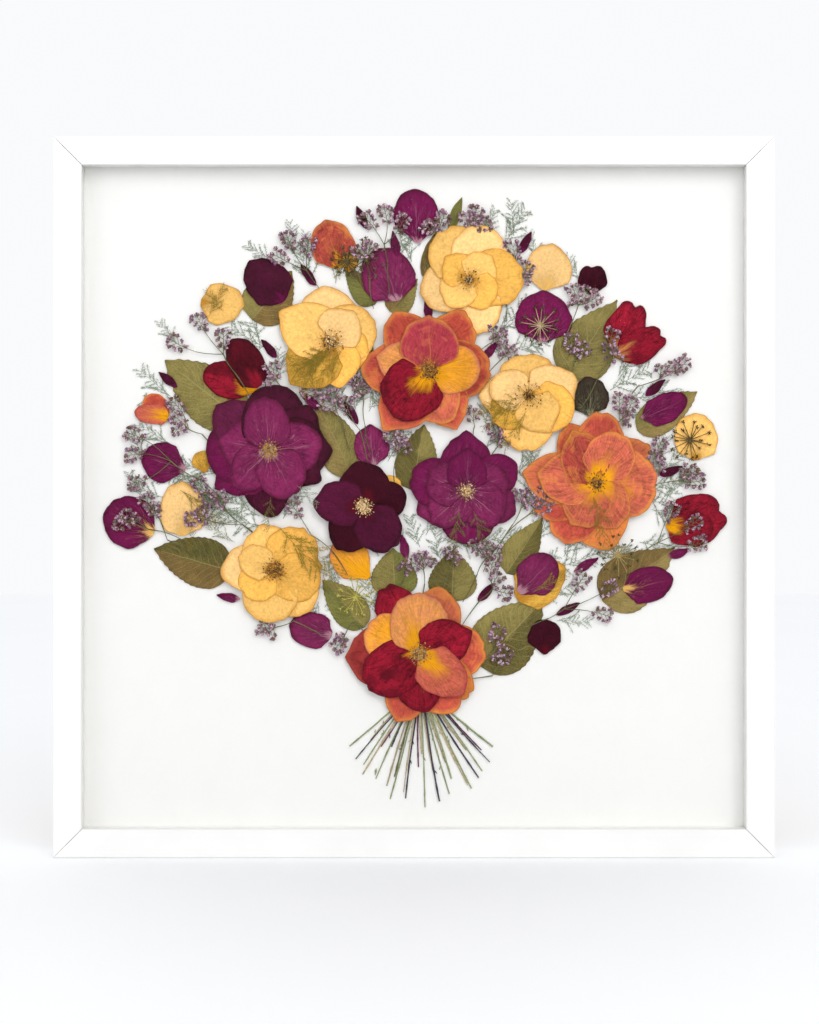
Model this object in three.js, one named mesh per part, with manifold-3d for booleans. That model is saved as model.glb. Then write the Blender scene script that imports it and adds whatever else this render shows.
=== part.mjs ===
// Pressed flower frame: a square white box frame with a bouquet of pressed flowers behind glass.
// Millimetres. X runs to the right, Z up from the bottom edge of the frame, and the front faces -Y.

import * as THREE from 'three';
import { mergeVertices } from 'three/addons/utils/BufferGeometryUtils.js';
import Module from 'manifold-3d';

const wasm = await Module();
wasm.setup();

// ---- Driving dimensions -------------------------------------------------------------------------

const FRAME_SIZE = 600; // outer side of the square
const FACE_WIDTH = 24; // width of a rail's front face
const RAIL_DEPTH = 36;
const LIP_WIDTH = 6; // part of the face that covers the edge of the glass
const LIP_DEPTH = 4;
const ARRIS = 1; // chamfer on the front edges of the rails
const MITRE_CLEARANCE = 0.2;
const TOUCH_GAP = 0.3; // gap kept between pieces that touch
const GLASS_THICKNESS = 2;
const SPACER_WIDTH = 4;
const SPACER_DEPTH = 13;
const MOUNT_THICKNESS = 2;
const BACKING_THICKNESS = 3;
const COVER_THICKNESS = 0.5;
const COVER_MARGIN = 4; // strip of bare rail around the dust cover
const PANEL_CLEARANCE = 0.5; // play of the glass and the boards in the rebate
const HANGER = { width: 44, height: 12, thickness: 1.2, teeth: 7, toothDepth: 3, belowTop: 16 };
const NAIL = { radius: 2.4, head: 1, spacing: 34 };
const BUMPER = { radius: 6, height: 3, inset: 12 };

const PETAL_THICKNESS = 0.4;
const PETAL_CURL = 0.3; // rise of the edge that lies over the next petal
const PETAL_STEP = 0.3; // height between two layers of petals in one flower
const LEAF_THICKNESS = 0.3;
const MIDRIB_RISE = 0.2;

// Heights of the layers over the mount board
const LEAF_LEVEL = 0.3;
const STEM_LEVEL = 0.3;
const PETAL_LEVEL = 1.1;
const SPRAY_LEVEL = 2.6;
const FLOWER_LEVEL = 4.1;
const FLOWER_TIER = 1.9; // extra height of a flower that lies over its neighbours

// ---- The bouquet: x from the centre line, y above the bottom edge, angles from +X towards up ------

// A petal is [direction, length, width, layer]; layer 0 is nearest the board.
const FLOWERS = [
  { name: 'flower_cream_upper_left', at: [-69, 430], tier: 0, boss: 7, colour: 0xf4d080, petals: [
    [98, 48, 46, 0], [150, 51, 42, 1], [27, 41, 43, 1], [55, 32, 35, 2], [-25, 36, 33, 1], [-80, 39, 38, 1],
    [225, 50, 43, 1]] },
  { name: 'flower_cream_top', at: [46, 482], tier: 0, boss: 6, colour: 0xf4d38a, petals: [
    [115, 48, 42, 0], [68, 48, 42, 0], [195, 42, 38, 0], [285, 46, 38, 0], [5, 46, 42, 1],
    [45, 28, 28, 2], [135, 28, 28, 2], [225, 28, 28, 2], [315, 28, 28, 2]] },
  { name: 'flower_orange_top', at: [13, 406], tier: 2, boss: 7, colour: 0xd0553a, petals: [
    [122, 58, 40, 0], [57, 58, 38, 0], [178, 58, 42, 0], [232, 64, 42, 0], [295, 55, 38, 0], [2, 51, 43, 1],
    [165, 46, 38, 2], [3, 43, 36, 2], [90, 46, 44, 3], [228, 49, 46, 3]] },
  { name: 'flower_cream_right', at: [96, 385], tier: 1, boss: 6, colour: 0xf6d78e, petals: [
    [92, 35, 42, 0], [180, 42, 37, 0], [268, 46, 40, 0], [15, 42, 38, 1], [-30, 42, 37, 1], [215, 37, 34, 1],
    [160, 34, 30, 2], [300, 36, 33, 2]] },
  { name: 'flower_orange_right', at: [153, 312], tier: 0, boss: 6, colour: 0xdd7442, petals: [
    [115, 55, 38, 0], [85, 59, 38, 0], [35, 55, 37, 0], [172, 62, 40, 0], [205, 57, 33, 0], [275, 57, 46, 0],
    [238, 58, 38, 0], [-2, 51, 50, 1], [115, 49, 37, 2], [62, 46, 37, 2], [170, 50, 40, 2], [240, 41, 37, 2],
    [-65, 42, 37, 2]] },
  { name: 'flower_plum_left', at: [-121, 339], tier: 0, boss: 7.5, colour: 0x6d2a5a, petals: [
    [82, 56, 48, 0], [140, 59, 42, 0], [180, 54, 50, 0], [215, 56, 42, 0], [268, 56, 38, 0], [40, 51, 37, 0],
    [0, 53, 50, 0], [-30, 51, 35, 0], [168, 45, 38, 1], [8, 45, 38, 1], [95, 46, 35, 2], [225, 43, 32, 2],
    [-62, 43, 37, 3]] },
  { name: 'flower_plum_right', at: [44, 305], tier: 0, boss: 7, colour: 0x7a2f62, petals: [
    [90, 51, 40, 0], [28, 48, 33, 0], [-25, 45, 33, 0], [272, 45, 42, 0], [205, 46, 42, 0], [165, 49, 38, 0],
    [20, 37, 32, 2], [-40, 38, 35, 2], [222, 40, 33, 2], [160, 35, 32, 2], [88, 37, 30, 3]] },
  { name: 'flower_burgundy', at: [-42, 292], tier: 1, boss: 7, colour: 0x3a0a22, petals: [
    [15, 37, 30, 0], [90, 38, 38, 1], [238, 43, 35, 1], [305, 43, 35, 2], [172, 42, 33, 2]] },
  { name: 'flower_cream_lower_left', at: [-117, 239], tier: 1, boss: 8, colour: 0xf3c76a, petals: [
    [105, 41, 42, 0], [178, 45, 37, 0], [260, 45, 42, 0], [310, 46, 40, 0], [5, 40, 38, 0], [45, 43, 38, 1],
    [215, 33, 30, 1], [-20, 41, 36, 1], [155, 32, 25, 2]] },
  { name: 'flower_red_bottom', at: [5, 169], tier: 0, boss: 7.5, colour: 0xc4472f, petals: [
    [68, 58, 42, 0], [183, 63, 50, 0], [252, 61, 38, 0], [298, 58, 38, 0], [3, 55, 42, 0], [-38, 55, 30, 0],
    [118, 63, 35, 1], [155, 50, 40, 2], [270, 50, 37, 2], [-42, 46, 35, 2], [90, 51, 45, 3], [208, 50, 42, 3],
    [15, 48, 37, 3]] },
];

// A loose petal or a leaf: the point where it was attached, its direction, length and width.
const PETALS = [
  { name: 'petal_plum_top', at: [3, 514], turn: 93, length: 45, width: 38, colour: 0x7a2f62 },
  { name: 'petal_red_top_left', at: [-63, 493], turn: 105, length: 42, width: 38, colour: 0xc04a35 },
  { name: 'petal_plum_upper', at: [-14, 465], turn: 110, length: 47, width: 45, colour: 0x752c60 },
  { name: 'petal_dark_plum', at: [-109, 464], turn: 130, length: 46, width: 38, colour: 0x4f1840 },
  { name: 'petal_cream_left', at: [-179, 464], turn: -5, length: 37, width: 35, colour: 0xf5cc79 },
  { name: 'petal_crimson_left', at: [-131, 391], turn: 163, length: 48, width: 32, colour: 0xb01e35 },
  { name: 'petal_plum_left', at: [-192, 323], turn: 162, length: 38, width: 34, colour: 0x752c60 },
  { name: 'petal_plum_far_left', at: [-219, 270], turn: 155, length: 45, width: 44, colour: 0x752c60 },
  { name: 'petal_cream_lower_left', at: [-194, 267], turn: 92, length: 46, width: 38, colour: 0xf7cf86 },
  { name: 'petal_cream_top_right', at: [110, 475], turn: 86, length: 38, width: 37, colour: 0xf8d691 },
  { name: 'petal_plum_upper_right', at: [109, 430], turn: 90, length: 44, width: 48, colour: 0x772e60 },
  { name: 'petal_crimson_upper_right', at: [170, 421], turn: 40, length: 46, width: 38, colour: 0xa3122e },
  { name: 'petal_crimson_far_right', at: [214, 273], turn: 20, length: 49, width: 45, colour: 0x9c1230 },
  { name: 'petal_plum_lower_right', at: [177, 223], turn: 10, length: 43, width: 25, colour: 0x64204e },
];

const LEAVES = [
  { name: 'leaf_upper_left', at: [-144, 364], turn: 142, length: 83, width: 50, colour: 0x6f6b38 },
  { name: 'leaf_upper_right', at: [129, 401], turn: 57, length: 77, width: 50, colour: 0x757038 },
  { name: 'leaf_bottom', at: [55, 158], turn: 46, length: 76, width: 54, colour: 0x6f6c3a },
  { name: 'leaf_brown_right', at: [159, 212], turn: 37, length: 76, width: 48, colour: 0x84743c },
  { name: 'leaf_brown_left', at: [-154, 238], turn: 164, length: 67, width: 42, colour: 0x6a5a30 },
  { name: 'leaf_centre_left', at: [-52, 318], turn: 115, length: 67, width: 36, colour: 0x7c7a40 },
  { name: 'leaf_centre', at: [-2, 306], turn: 79, length: 56, width: 35, colour: 0x686a3c },
  { name: 'leaf_centre_right', at: [78, 236], turn: 57, length: 56, width: 30, colour: 0x716b38 },
  { name: 'leaf_heart', at: [-16, 216], turn: 92, length: 41, width: 39, colour: 0x6c6c38 },
  { name: 'leaf_round', at: [32, 212], turn: 88, length: 44, width: 40, colour: 0x5f6030 },
  { name: 'leaf_far_right', at: [188, 356], turn: 33, length: 60, width: 30, colour: 0x77682f },
  { name: 'leaf_top_left', at: [-136, 449], turn: 51, length: 53, width: 42, colour: 0x6c6a38 },
];

// A spray of sea lavender: the foot of its stem, its fork, and the tips of its flower heads.
const SPRAYS = [
  { name: 'sea_lavender_top_left', foot: [-80, 476], fork: [-90, 490],
    tips: [[-107, 521], [-118, 504], [-88, 516]] },
  { name: 'sea_lavender_top', foot: [-22, 495], fork: [-25, 512],
    tips: [[-42, 536], [-25, 543], [-8, 535]] },
  { name: 'sea_lavender_left', foot: [-150, 404], fork: [-160, 420],
    tips: [[-182, 452], [-204, 432], [-160, 438]] },
  { name: 'sea_lavender_far_left', foot: [-178, 314], fork: [-204, 330],
    tips: [[-240, 354], [-240, 335], [-238, 311]] },
  { name: 'sea_lavender_far_right', foot: [188, 251], fork: [205, 262],
    tips: [[218, 293], [239, 281], [243, 262]] },
  { name: 'sea_lavender_lower_right', foot: [113, 198], fork: [126, 206],
    tips: [[143, 234], [168, 226], [164, 200]] },
];
const HEAD_LENGTH = 16;
const FLORET_ROWS = 3;
const FLORET_REACH = 4.5; // half the width of a flower head
const FLORET_HEIGHT = 1;
const FLORET_DROP = 0.2; // how far a flower head reaches below its stem
const SPRAY_STEM = { width: 0.9, height: 0.6 };

// The cut stems fan out below the bouquet from one gathering point, at even angles.
const STEM_FAN = { at: [5, 143], spread: 93.5, gathered: 31, width: 1.2, height: 0.6 };
const DOWN = -90;
const STEM_LENGTHS = [79, 63, 83, 83, 90, 62, 88, 58, 90, 81, 100, 92, 97, 70, 59, 104, 74, 100, 96, 70, 84,
  94, 98, 93, 68, 90, 88, 76, 81];

// ---- Depths behind the front face ----------------------------------------------------------------

const GLASS_FRONT = LIP_DEPTH + TOUCH_GAP;
const SPACER_FRONT = GLASS_FRONT + GLASS_THICKNESS + TOUCH_GAP;
const MOUNT_FRONT = SPACER_FRONT + SPACER_DEPTH + TOUCH_GAP;
const BACKING_FRONT = MOUNT_FRONT + MOUNT_THICKNESS + TOUCH_GAP;
const COVER_FRONT = RAIL_DEPTH + TOUCH_GAP;
const FITTINGS_FRONT = COVER_FRONT + COVER_THICKNESS + TOUCH_GAP;
const OVERALL_DEPTH = FITTINGS_FRONT + BUMPER.height;
const FRONT_Y = -OVERALL_DEPTH / 2;
const REBATE_SIZE = FRAME_SIZE - 2 * (FACE_WIDTH - LIP_WIDTH);
const PANEL_SIZE = REBATE_SIZE - 2 * PANEL_CLEARANCE;

const radians = THREE.MathUtils.degToRad;

// ---- Solids --------------------------------------------------------------------------------------

function toSolid(geometry) {
  const bare = geometry.index ? geometry.toNonIndexed() : geometry.clone();
  bare.deleteAttribute('normal');
  bare.deleteAttribute('uv');
  const merged = mergeVertices(bare);
  const vertProperties = new Float32Array(merged.attributes.position.array);
  const triVerts = new Uint32Array(merged.index.array);
  return new wasm.Manifold(new wasm.Mesh({ numProp: 3, vertProperties, triVerts }));
}

function toGeometry(solid) {
  const mesh = solid.getMesh();
  const geometry = new THREE.BufferGeometry();
  geometry.setAttribute('position', new THREE.BufferAttribute(mesh.vertProperties, 3));
  geometry.setIndex(new THREE.BufferAttribute(mesh.triVerts, 1));
  return geometry;
}

// Joins bodies in one; asOriginal lets faces that lie in one plane merge
function fuse(geometries) {
  return toGeometry(geometries.map(toSolid).reduce((whole, next) => whole.add(next)).asOriginal());
}

function piece(name, geometry, colour, roughness = 0.8, metalness = 0) {
  const mesh = new THREE.Mesh(geometry, new THREE.MeshStandardMaterial({ color: colour, roughness, metalness }));
  mesh.name = name;
  return mesh;
}

function meshFrom(vertices, triangles) {
  const geometry = new THREE.BufferGeometry();
  geometry.setAttribute('position', new THREE.Float32BufferAttribute(vertices.flat(), 3));
  geometry.setIndex(triangles.flat());
  return facingOut(geometry);
}

// Closed body between two rings of the same count; their caps follow the flat outline
function prism(firstRing, secondRing, outline) {
  const count = outline.length;
  const triangles = [];
  for (let i = 0; i < count; i++) {
    const next = (i + 1) % count;
    triangles.push([i, next, count + next], [i, count + next, count + i]);
  }
  const points = outline.map(([x, y]) => new THREE.Vector2(x, y));
  const turns = THREE.ShapeUtils.isClockWise(points) ? -1 : 1;
  for (const [a, b, c] of THREE.ShapeUtils.triangulateShape(points, [])) {
    triangles.push(turns > 0 ? [a, c, b] : [a, b, c]);
    triangles.push(turns > 0 ? [count + a, count + b, count + c] : [count + a, count + c, count + b]);
  }
  return meshFrom([...firstRing, ...secondRing], triangles);
}

// Turns every triangle over when the closed mesh holds a negative volume
function facingOut(geometry) {
  const position = geometry.attributes.position;
  const index = geometry.index.array;
  const [a, b, c] = [new THREE.Vector3(), new THREE.Vector3(), new THREE.Vector3()];
  let volume = 0;
  for (let i = 0; i < index.length; i += 3) {
    a.fromBufferAttribute(position, index[i]);
    b.fromBufferAttribute(position, index[i + 1]);
    c.fromBufferAttribute(position, index[i + 2]);
    volume += a.dot(b.cross(c));
  }
  if (volume < 0) {
    for (let i = 0; i < index.length; i += 3) {
      [index[i + 1], index[i + 2]] = [index[i + 2], index[i + 1]];
    }
  }
  return geometry;
}

// ---- Frame ---------------------------------------------------------------------------------------

// Section of a rail as [distance in from the outer edge, depth behind the front face]
const RAIL_SECTION = [
  [0, ARRIS],
  [0, RAIL_DEPTH],
  [FACE_WIDTH - LIP_WIDTH, RAIL_DEPTH],
  [FACE_WIDTH - LIP_WIDTH, LIP_DEPTH],
  [FACE_WIDTH, LIP_DEPTH],
  [FACE_WIDTH, ARRIS],
  [FACE_WIDTH - ARRIS, 0],
  [ARRIS, 0],
];

// The top rail with mitred ends, about the frame's centre: its section slides along the mitres
function railGeometry() {
  const half = FRAME_SIZE / 2;
  const corner = (side) => RAIL_SECTION.map(([inset, depth]) => [
    side * (half - inset - MITRE_CLEARANCE), FRONT_Y + depth, half - inset]);
  return prism(corner(-1), corner(1), RAIL_SECTION);
}

function rails() {
  const group = new THREE.Group();
  group.position.z = FRAME_SIZE / 2;
  ['top', 'right', 'bottom', 'left'].forEach((side, quarter) => {
    const rail = piece(`rail_${side}`, railGeometry(), 0xf6f5f2, 0.4);
    rail.rotation.y = quarter * Math.PI / 2;
    group.add(rail);
  });
  return group;
}

function panel(name, size, thickness, frontDepth, colour, roughness) {
  const sheet = piece(name, new THREE.BoxGeometry(size, thickness, size), colour, roughness);
  sheet.position.set(0, FRONT_Y + frontDepth + thickness / 2, FRAME_SIZE / 2);
  return sheet;
}

// The spacer strips stand against the walls of the rebate; the side strips fit between the other two.
function spacers() {
  const group = new THREE.Group();
  group.position.set(0, FRONT_Y + SPACER_FRONT + SPACER_DEPTH / 2, FRAME_SIZE / 2);
  const outer = PANEL_SIZE / 2;
  const shortLength = PANEL_SIZE - 2 * (SPACER_WIDTH + TOUCH_GAP);
  for (const [side, sign] of [['top', 1], ['bottom', -1]]) {
    const strip = new THREE.BoxGeometry(PANEL_SIZE, SPACER_DEPTH, SPACER_WIDTH);
    const spacer = piece(`spacer_${side}`, strip, 0xf4f3ef);
    spacer.position.z = sign * (outer - SPACER_WIDTH / 2);
    group.add(spacer);
  }
  for (const [side, sign] of [['right', 1], ['left', -1]]) {
    const strip = new THREE.BoxGeometry(SPACER_WIDTH, SPACER_DEPTH, shortLength);
    const spacer = piece(`spacer_${side}`, strip, 0xf4f3ef);
    spacer.position.x = sign * (outer - SPACER_WIDTH / 2);
    group.add(spacer);
  }
  return group;
}

// A thin plate with a row of teeth cut in its lower edge, from which the frame can hang
function hangerPlate() {
  const { width, height, thickness, teeth, toothDepth } = HANGER;
  const outline = new THREE.Shape();
  outline.moveTo(-width / 2, height);
  outline.lineTo(-width / 2, 0);
  const toothedWidth = width / 2;
  const pitch = toothedWidth / teeth;
  outline.lineTo(-toothedWidth / 2, 0);
  for (let i = 0; i < teeth; i++) {
    outline.lineTo(-toothedWidth / 2 + (i + 0.5) * pitch, toothDepth);
    outline.lineTo(-toothedWidth / 2 + (i + 1) * pitch, 0);
  }
  outline.lineTo(width / 2, 0);
  outline.lineTo(width / 2, height);
  const plate = piece('hanger_plate', new THREE.ExtrudeGeometry(outline, { depth: thickness, bevelEnabled: false }),
    0xb9b4a6, 0.35, 1);
  plate.rotation.x = Math.PI / 2;
  plate.position.set(0, FRONT_Y + FITTINGS_FRONT + thickness, FRAME_SIZE - HANGER.belowTop);
  return plate;
}

function fittings() {
  const group = new THREE.Group();
  group.add(hangerPlate());
  const nailY = FRONT_Y + FITTINGS_FRONT + HANGER.thickness + TOUCH_GAP + NAIL.head / 2;
  for (const [side, sign] of [['left', -1], ['right', 1]]) {
    const nail = piece(`hanger_nail_${side}`, new THREE.CylinderGeometry(NAIL.radius, NAIL.radius, NAIL.head, 10),
      0xb9b4a6, 0.35, 1);
    nail.position.set(sign * NAIL.spacing / 2, nailY, FRAME_SIZE - HANGER.belowTop + HANGER.height * 0.6);
    const disc = new THREE.CylinderGeometry(BUMPER.radius * 0.85, BUMPER.radius, BUMPER.height, 12);
    const bumper = piece(`bumper_${side}`, disc, 0x2b2b2b, 0.9);
    bumper.position.set(sign * (FRAME_SIZE / 2 - BUMPER.inset), FRONT_Y + FITTINGS_FRONT + BUMPER.height / 2,
      BUMPER.inset);
    group.add(nail, bumper);
  }
  return group;
}

// ---- Specimens, built lying on the board: X right, Y up, Z towards the glass ---------------------

// Rim of a petal from its claw at the origin to its rounded tip on +X, anticlockwise
const PETAL_CLAW = 0.16; // width of the claw as a share of the full width
const PETAL_WIDEST = 0.6; // where the petal is widest, as a share of its length
const PETAL_TIP_STEPS = 4;

function petalRim(length, width) {
  const widest = PETAL_WIDEST * length;
  const upper = [];
  for (let i = 0; i <= PETAL_TIP_STEPS; i++) {
    const angle = (i / PETAL_TIP_STEPS) * Math.PI / 2;
    upper.push([widest + (length - widest) * Math.cos(angle), width / 2 * Math.sin(angle)]);
  }
  upper.push([0, width * PETAL_CLAW / 2]);
  const lower = upper.slice(1).reverse().map(([x, y]) => [x, -y]);
  return [...upper, ...lower];
}

// Closed plate over a rim: flat below, and higher along its left edge, which lies over the next
// petal. A petal of an upper layer reaches down through the petals that it lies on.
function petalGeometry(length, width, layer) {
  const rim = petalRim(length, width);
  const top = layer * PETAL_STEP + PETAL_THICKNESS;
  const below = rim.map(([x, y]) => [x, y, 0]);
  const above = rim.map(([x, y]) => [x, y, top + PETAL_CURL * (0.5 + y / width)]);
  return prism(below, above, rim);
}

function laidPetal(direction, length, width, layer, [x, y], level) {
  return petalGeometry(length, width, layer).rotateZ(radians(direction)).translate(x, y, level);
}

// Flattened button of stamens that holds the petals together
const BOSS_HEIGHT = 2.4;
const BOSS_SIDES = 8;

function bossGeometry(radius) {
  const profile = [[0, 0], [radius, 0], [radius * 0.75, BOSS_HEIGHT], [0, BOSS_HEIGHT]];
  const geometry = new THREE.LatheGeometry(profile.map(([r, h]) => new THREE.Vector2(r, h)), BOSS_SIDES);
  return geometry.rotateX(Math.PI / 2);
}

function flower({ name, at, tier, boss, colour, petals }) {
  const level = FLOWER_LEVEL + tier * FLOWER_TIER;
  const laid = petals.map((petal) => laidPetal(...petal, at, level));
  laid.push(bossGeometry(boss).translate(...at, level));
  return piece(name, fuse(laid), colour);
}

function loosePetal({ name, at, turn, length, width, colour }) {
  return piece(name, laidPetal(turn, length, width, 0, at, PETAL_LEVEL), colour);
}

// A pointed leaf folded slightly along its midrib, in rows from the stalk to the tip
const LEAF_ROWS = 6;
const LEAF_FULLNESS = 0.75;

function leafGeometry(length, width) {
  const rows = [];
  for (let i = 0; i <= LEAF_ROWS; i++) {
    const share = i / LEAF_ROWS;
    const half = Math.max(0.04, Math.sin(Math.PI * share ** 0.85) ** LEAF_FULLNESS) * width / 2;
    rows.push([share * length, half]);
  }
  const vertices = rows.flatMap(([x, half]) => [
    [x, half, 0], [x, -half, 0], [x, half, LEAF_THICKNESS], [x, 0, LEAF_THICKNESS + MIDRIB_RISE],
    [x, -half, LEAF_THICKNESS]]);
  const ring = [0, 2, 3, 4, 1];
  const triangles = [[0, 2, 3], [0, 3, 4], [0, 4, 1]];
  const last = LEAF_ROWS * ring.length;
  triangles.push(...triangles.map((triangle) => triangle.map((i) => last + i).reverse()));
  for (let row = 0; row < LEAF_ROWS; row++) {
    ring.forEach((from, i) => {
      const a = row * ring.length + from;
      const b = row * ring.length + ring[(i + 1) % ring.length];
      triangles.push([a, a + ring.length, b], [b, a + ring.length, b + ring.length]);
    });
  }
  return meshFrom(vertices, triangles);
}

function leaf({ name, at: [x, y], turn, length, width, colour }) {
  return piece(name, leafGeometry(length, width).rotateZ(radians(turn)).translate(x, y, LEAF_LEVEL), colour);
}

// A straight flat bar between two points; it runs on past both, so that bars meet at a fork
function bar([x1, y1], [x2, y2], { width, height }, level) {
  const length = Math.hypot(x2 - x1, y2 - y1);
  const geometry = new THREE.BoxGeometry(length + width, width, height);
  geometry.rotateZ(Math.atan2(y2 - y1, x2 - x1));
  return geometry.translate((x1 + x2) / 2, (y1 + y2) / 2, level + height / 2);
}

// A flat plume of florets that ends at a tip, with a notched edge
function head(tip, turn) {
  const step = HEAD_LENGTH / FLORET_ROWS;
  const edge = [];
  for (let row = 0; row < FLORET_ROWS; row++) {
    edge.push([-row * step - step * 0.3, FLORET_REACH], [-(row + 1) * step, FLORET_REACH * 0.35]);
  }
  const outline = [[0, 0], ...edge, ...edge.map(([x, y]) => [x, -y]).reverse()];
  const plume = new THREE.Shape(outline.map(([x, y]) => new THREE.Vector2(x, y)));
  const geometry = new THREE.ExtrudeGeometry(plume, { depth: FLORET_HEIGHT, bevelEnabled: false });
  return geometry.rotateZ(turn).translate(...tip, SPRAY_LEVEL - FLORET_DROP);
}

function spray({ name, foot, fork, tips }) {
  const parts = [bar(foot, fork, SPRAY_STEM, SPRAY_LEVEL)];
  for (const [x, y] of tips) {
    const turn = Math.atan2(y - fork[1], x - fork[0]);
    const inHead = HEAD_LENGTH * 0.8;
    const neck = [x - inHead * Math.cos(turn), y - inHead * Math.sin(turn)];
    parts.push(bar(fork, neck, SPRAY_STEM, SPRAY_LEVEL), head([x, y], turn));
  }
  return piece(name, fuse(parts), 0x7b5f7d);
}

// The stems lie over one another near the gathering point, so there they are one flat wedge.
function stemFan() {
  const { at: [x, y], spread, gathered, width, height } = STEM_FAN;
  const first = radians(DOWN - spread / 2);
  const outline = [new THREE.Vector2(0, 0)];
  STEM_LENGTHS.forEach((length, i) => {
    const angle = first + radians(spread) * i / (STEM_LENGTHS.length - 1);
    const along = new THREE.Vector2(Math.cos(angle), Math.sin(angle));
    const across = new THREE.Vector2(-along.y, along.x).multiplyScalar(width / 2);
    const root = along.clone().multiplyScalar(gathered);
    const tip = along.clone().multiplyScalar(length);
    outline.push(root.clone().sub(across), tip.clone().sub(across), tip.add(across), root.add(across));
  });
  const fan = new THREE.ExtrudeGeometry(new THREE.Shape(outline), { depth: height, bevelEnabled: false });
  return piece('stems', fan.translate(x, y, STEM_LEVEL), 0x8a8458);
}

function bouquet() {
  const sheet = new THREE.Group();
  sheet.position.y = FRONT_Y + MOUNT_FRONT;
  sheet.rotation.x = Math.PI / 2;
  sheet.add(stemFan());
  LEAVES.forEach((each) => sheet.add(leaf(each)));
  PETALS.forEach((each) => sheet.add(loosePetal(each)));
  SPRAYS.forEach((each) => sheet.add(spray(each)));
  FLOWERS.forEach((each) => sheet.add(flower(each)));
  return sheet;
}

// ---- Assembly ------------------------------------------------------------------------------------

const pressedFlowerFrame = new THREE.Group();
pressedFlowerFrame.add(
  rails(),
  panel('glass', PANEL_SIZE, GLASS_THICKNESS, GLASS_FRONT, 0xf2f7f6, 0.05),
  spacers(),
  panel('mount_board', PANEL_SIZE, MOUNT_THICKNESS, MOUNT_FRONT, 0xfbfaf7, 0.9),
  panel('backing_board', PANEL_SIZE, BACKING_THICKNESS, BACKING_FRONT, 0xb08a5c, 0.8),
  panel('dust_cover', FRAME_SIZE - 2 * COVER_MARGIN, COVER_THICKNESS, COVER_FRONT, 0xb5916a, 0.9),
  fittings(),
  bouquet(),
);

export default pressedFlowerFrame;
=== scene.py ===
"""Pressed flower frame: the finish of a white box frame and the detailed bouquet pressed behind its glass."""

import contextlib
import math
import random

import bmesh
import bpy
import numpy as np
from bpy.props import FloatProperty, FloatVectorProperty, PointerProperty
from mathutils import Matrix, Vector


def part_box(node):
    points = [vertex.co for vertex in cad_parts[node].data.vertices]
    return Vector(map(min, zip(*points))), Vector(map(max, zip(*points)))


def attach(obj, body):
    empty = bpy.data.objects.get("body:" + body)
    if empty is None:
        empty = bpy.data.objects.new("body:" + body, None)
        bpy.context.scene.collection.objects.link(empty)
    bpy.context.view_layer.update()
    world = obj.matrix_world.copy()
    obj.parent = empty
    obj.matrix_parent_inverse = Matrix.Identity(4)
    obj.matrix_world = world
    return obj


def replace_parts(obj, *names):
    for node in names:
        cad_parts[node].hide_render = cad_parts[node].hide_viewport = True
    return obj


bl_info = {
    "name": "Pressed Flower Frame",
    "version": (1, 0, 0),
    "blender": (4, 5, 0),
    "location": "3D View > Sidebar > Flower Frame",
    "description": "Finishes a box frame and presses a bouquet of petals, leaves and sprigs behind its glass",
    "category": "Object",
}

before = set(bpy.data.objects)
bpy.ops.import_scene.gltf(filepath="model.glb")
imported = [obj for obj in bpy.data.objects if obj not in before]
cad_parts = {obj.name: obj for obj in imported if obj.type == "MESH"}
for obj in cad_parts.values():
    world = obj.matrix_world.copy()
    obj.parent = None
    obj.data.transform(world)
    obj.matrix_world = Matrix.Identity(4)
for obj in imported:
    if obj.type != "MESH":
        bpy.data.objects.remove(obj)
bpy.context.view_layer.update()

MM = 0.001
BOARD_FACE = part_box("mount_board")[0].y
FRAME_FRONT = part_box("rail_top")[0].y

# The sheet: millimetres on the mount board, x from its centre line, y above the frame's bottom edge,
# z from the board towards the glass
SHEET = Matrix(((1, 0, 0, 0), (0, 0, -1, BOARD_FACE), (0, 1, 0, 0), (0, 0, 0, 1))) @ Matrix.Scale(MM, 4)

# Heights over the board
FERN_LEVEL = 0.5
STEM_LEVEL = 0.95
STEM_STEP = 0.3  # between neighbouring cut stems
LEAF_LEVEL = 1.1
SLENDER_LEVEL = 1.9
PETAL_LEVEL = 2.0
TAIL_LEVEL = 2.7
SPRAY_LEVEL = 3.2
SPRIG_LIFT = 0.4  # of a small sprig over a spray
FLOWER_LEVEL = 4.7
FLOWER_TIER = 1.1
PETAL_LIFT = 0.35  # of a flower's lowest petals over its level
LAYER_STEP = 0.95  # between two layers of petals in one flower
CENTRE_LIFT = 0.3  # of a flower's centre over its top petals


# ---- Colours and sizes that a user can change ----------------------------------------------------

def linear(code):
    """A colour written 0xRRGGBB as the linear red, green and blue that shaders use."""
    parts = [(code >> shift & 255) / 255 for shift in (16, 8, 0)]
    return tuple(p / 12.92 if p <= 0.04045 else ((p + 0.055) / 1.055) ** 2.4 for p in parts)


def shade(name, code):
    return FloatVectorProperty(
        name=name, description=f"Colour of what is {name.lower()}", default=linear(code),
        subtype="COLOR", size=3, min=0, max=1)


def in_mm(name, description, default, low, high):
    return FloatProperty(name=name, description=f"{description}, in mm", default=default, min=low, max=high)


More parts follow.
